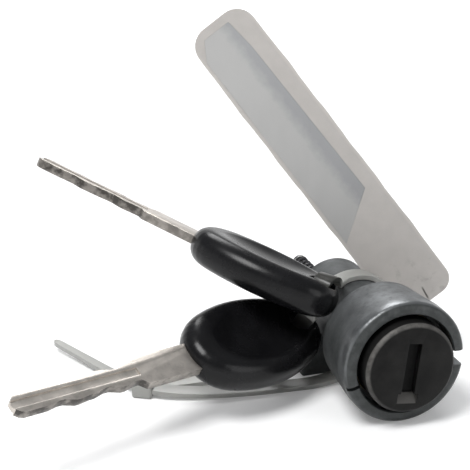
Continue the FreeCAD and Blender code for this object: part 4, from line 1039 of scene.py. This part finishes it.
def eased(corners, share):
    """A point between the middle two of four corners, on a curve that passes through them."""
    before, start, stop, after = corners
    return 0.5 * (2 * start + (stop - before) * share
                  + (2 * before - 5 * start + 4 * stop - after) * share ** 2
                  + (3 * start - before - 3 * stop + after) * share ** 3)


class LOCK_OT_cable_tie(bpy.types.Operator):
    """Bridge the strap between its two long edges and make its ratchet head"""
    bl_idname = "lock.cable_tie"
    bl_label = "Cable tie"

    def execute(self, context):
        near, far = strap_edges(STRAP_HALF_WIDTH, 5)
        strap = trace("cable_tie_strap", near)
        other = trace("strap_far_edge", far)
        only(strap)
        other.select_set(True)
        bpy.ops.object.join()
        edit()
        bpy.ops.mesh.select_all(action="SELECT")
        bpy.ops.mesh.bridge_edge_loops()
        face_out()
        modify(strap, "SOLIDIFY", thickness=STRAP_THICKNESS * MM, offset=0.0)
        soften(strap, sizes().strap_edge, 50.0, 3)
        smooth(strap, 40.0)
        finish_piece(strap, "housing", "clear_nylon", ["cable_tie"])
        self.head()
        return {"FINISHED"}

    def head(self):
        head = block("cable_tie_head", (-2.7, -3.2, 0.0), (2.7, 3.2, 3.9))
        soften(head, 0.0007, 50.0, 4)
        combine(head, block("pawl_cutter", (-1.5, -2.0, 2.8), (1.5, 2.0, 6.0)))
        combine(head, block("lip_cutter", (-4.0, -2.5, 0.55), (4.0, 2.5, 2.05)))
        soften(head, 0.00012, 50.0, 2)
        smooth(head, 35.0)
        put(head, Matrix.Translation(mm(-56.8, 34.65, TABLE)) @ rotation(-30, "Z"))
        finish_piece(head, "housing", "clear_nylon")


def wavy_side(side, start, stop, shift, steps=40):
    """Points along one long side of the film, not quite straight, as cut film is."""
    points = []
    for step in range(steps + 1):
        share = step / steps
        place = start + (stop - start) * share
        wave = (0.09 * math.sin(place * 0.35 + shift) + 0.05 * math.sin(place * 0.83 + shift * 2)
                - 0.15)
        ease = min(share, 1 - share, 0.15) / 0.15
        points.append((side + math.copysign(wave * ease, side), place))
    return points


def slip_outline():
    """The paper slip, its lower end cut on the slant."""
    left, right, top = LABEL_LEFT, LABEL_RIGHT, LABEL_TOP
    return [(left + 0.9, 18.0), (right - 4.0, 27.0), (right - 5.0, top - 11.0),
            (right - 6.0, top - 2.4), (left + 4.0, top - 2.4), (left + 0.9, top - 7.5)]


class LOCK_OT_label(bpy.types.Operator):
    """Cut the label's film, with its slip's recess, strap slit and nick, clear of the drum"""
    bl_idname = "lock.label"
    bl_label = "Label"

    def execute(self, context):
        left, right, foot, top = LABEL_LEFT, LABEL_RIGHT, LABEL_FOOT, LABEL_TOP
        low, high = LABEL_FOOT_ROUND, LABEL_TOP_ROUND
        outline = arc(left + low, foot + low, low, 180.0, 270.0, 8)
        outline += arc(right - low, foot + low, low, 270.0, 360.0, 8)
        outline += wavy_side(right, foot + low + 0.1, top - high - 0.1, 0.4)
        outline += arc(right - high, top - high, high, 0.0, 90.0, 8)
        outline += arc(left + high, top - high, high, 90.0, 180.0, 8)
        outline += wavy_side(left, top - high - 0.1, foot + low + 0.1, 1.7)
        film = slab("label_film_strip", [(x, y, -LABEL_HALF) for x, y in outline],
                    (0.0, 0.0, 2 * LABEL_HALF))
        combine(film, slab("recess_cutter", [(x, y, 0.05) for x, y in slip_outline()],
                           (0.0, 0.0, 1.0)))
        slit = block("slit_cutter", (-0.75, -3.2, -1.0), (0.75, 3.0, 1.0))
        combine(film, put(slit, rotation(10.7, "Z")))
        nick = block("nick_cutter", (-0.16, -2.0, 0.0), (0.16, 2.0, 1.0))
        combine(film, put(nick, Matrix.Translation(mm(6.2, -5.7, 0.0)) @ rotation(-8, "Z")))
        soften(film, 0.00007, 50.0, 1)
        put(film, label_frame())
        combine(film, rod("drum_cutter", DRUM_RADIUS + LABEL_CLEARANCE, SLEEVE_REAR,
                          SLEEVE_REAR + 40.0))
        finish_piece(film, "housing", "label_film", ["label_tape"])
        return {"FINISHED"}


# Camera, lights and floor

class LOCK_OT_stage(bpy.types.Operator):
    """Set the floor, the soft lights and the camera"""
    bl_idname = "lock.stage"
    bl_label = "Stage"

    def execute(self, context):
        deselect()
        bpy.ops.mesh.primitive_plane_add(size=FLOOR_SIZE,
                                         location=mm(0.0, 0.0, TABLE - FLOOR_DROP))
        floor = name_new("stage_floor")
        paper = Finish("stage_paper")
        paper.set(Roughness=0.9, Base_Color=(*colours().floor, 1.0), Emission_Color=WHITE)
        span = paper.node("ShaderNodeVectorMath", operation="LENGTH")
        paper.link(paper.place, span.inputs[0])
        far = paper.rise(span.outputs["Value"], GLOW_START, GLOW_SLOPE)
        level = paper.math("MULTIPLY_ADD", far, GLOW_ADDED, GLOW_NEAR)
        paper.drive(Emission_Strength=paper.math("MULTIPLY", paper.plainly_seen(), level))
        floor.data.materials.append(paper.material)
        for name, place, size, power in LAMPS:
            light = bpy.data.lights.new(name, "AREA")
            light.shape = "DISK"
            light.size = size
            light.energy = power
            self.aimed(context, light, Vector(place), Vector(LAMP_AIM))
        context.scene.world = self.world()
        camera = bpy.data.cameras.new("camera")
        camera.lens = CAMERA_LENS
        camera.sensor_width = 36.0
        camera.clip_start = 0.01
        context.scene.camera = self.aimed(context, camera, mm(*CAMERA_PLACE), mm(*CAMERA_AIM))
        context.scene.view_settings.view_transform = "Standard"
        return {"FINISHED"}

    def aimed(self, context, data, place, aim):
        """A lamp or camera at a place, looking at another."""
        item = bpy.data.objects.new(data.name, data)
        item.location = place
        item.rotation_euler = (aim - item.location).to_track_quat("-Z", "Y").to_euler()
        context.scene.collection.objects.link(item)
        return item

    def world(self):
        """Soft even light, and a white horizon for the camera and for reflections."""
        world = bpy.data.worlds.new("stage_world")
        world.use_nodes = True
        nodes = Nodes(world.node_tree)
        sky = nodes.tree.nodes["Background"]
        sky.inputs["Color"].default_value = SKY
        sky.inputs["Strength"].default_value = SKY_STRENGTH
        white = nodes.node("ShaderNodeBackground")
        white.inputs["Color"].default_value = WHITE
        axes = nodes.node("ShaderNodeSeparateXYZ")
        nodes.link(nodes.node("ShaderNodeTexCoord").outputs["Generated"], axes.inputs[0])
        fade = nodes.node("ShaderNodeMapRange", interpolation_type="SMOOTHSTEP")
        for name, value in (("From Min", HORIZON_LOW), ("From Max", HORIZON_HIGH),
                            ("To Min", 1.0), ("To Max", 0.0)):
            fade.inputs[name].default_value = value
        nodes.link(axes.outputs["Z"], fade.inputs["Value"])
        blend = nodes.node("ShaderNodeMixShader")
        share = nodes.math("MULTIPLY", nodes.plainly_seen(), fade.outputs["Result"])
        nodes.link(share, blend.inputs["Fac"])
        nodes.link(sky.outputs[0], blend.inputs[1])
        nodes.link(white.outputs[0], blend.inputs[2])
        nodes.link(blend.outputs[0], nodes.tree.nodes["World Output"].inputs["Surface"])
        return world


class LOCK_PT_pieces(bpy.types.Panel):
    """Lists the steps that make the lock."""
    bl_label = "Steering lock"
    bl_idname = "LOCK_PT_pieces"
    bl_space_type = "VIEW_3D"
    bl_region_type = "UI"
    bl_category = "Steering lock"

    def draw(self, context):
        layout = self.layout
        for group in (context.scene.lock_sizes, context.scene.lock_colours):
            box = layout.box()
            for key in group.__annotations__:
                box.prop(group, key)
        for step in STEPS:
            layout.operator(step.bl_idname)


STEPS = (LOCK_OT_stage, LOCK_OT_finish_nodes, LOCK_OT_housing, LOCK_OT_face, LOCK_OT_keys,
         LOCK_OT_springs, LOCK_OT_cable_tie, LOCK_OT_label)
GROUPS = (LockSizes, LockColours)


def register():
    for item in GROUPS + STEPS + (LOCK_PT_pieces,):
        bpy.utils.register_class(item)
    bpy.types.Scene.lock_sizes = bpy.props.PointerProperty(type=LockSizes)
    bpy.types.Scene.lock_colours = bpy.props.PointerProperty(type=LockColours)


def unregister():
    del bpy.types.Scene.lock_colours
    del bpy.types.Scene.lock_sizes
    for item in reversed(GROUPS + STEPS + (LOCK_PT_pieces,)):
        bpy.utils.unregister_class(item)


def main():
    register()
    bpy.ops.lock.stage()
    bpy.ops.lock.finish_nodes()
    bpy.ops.lock.housing()
    bpy.ops.lock.face()
    bpy.ops.lock.keys()
    bpy.ops.lock.springs()
    bpy.ops.lock.cable_tie()
    bpy.ops.lock.label()


if __name__ == "__main__":
    main()
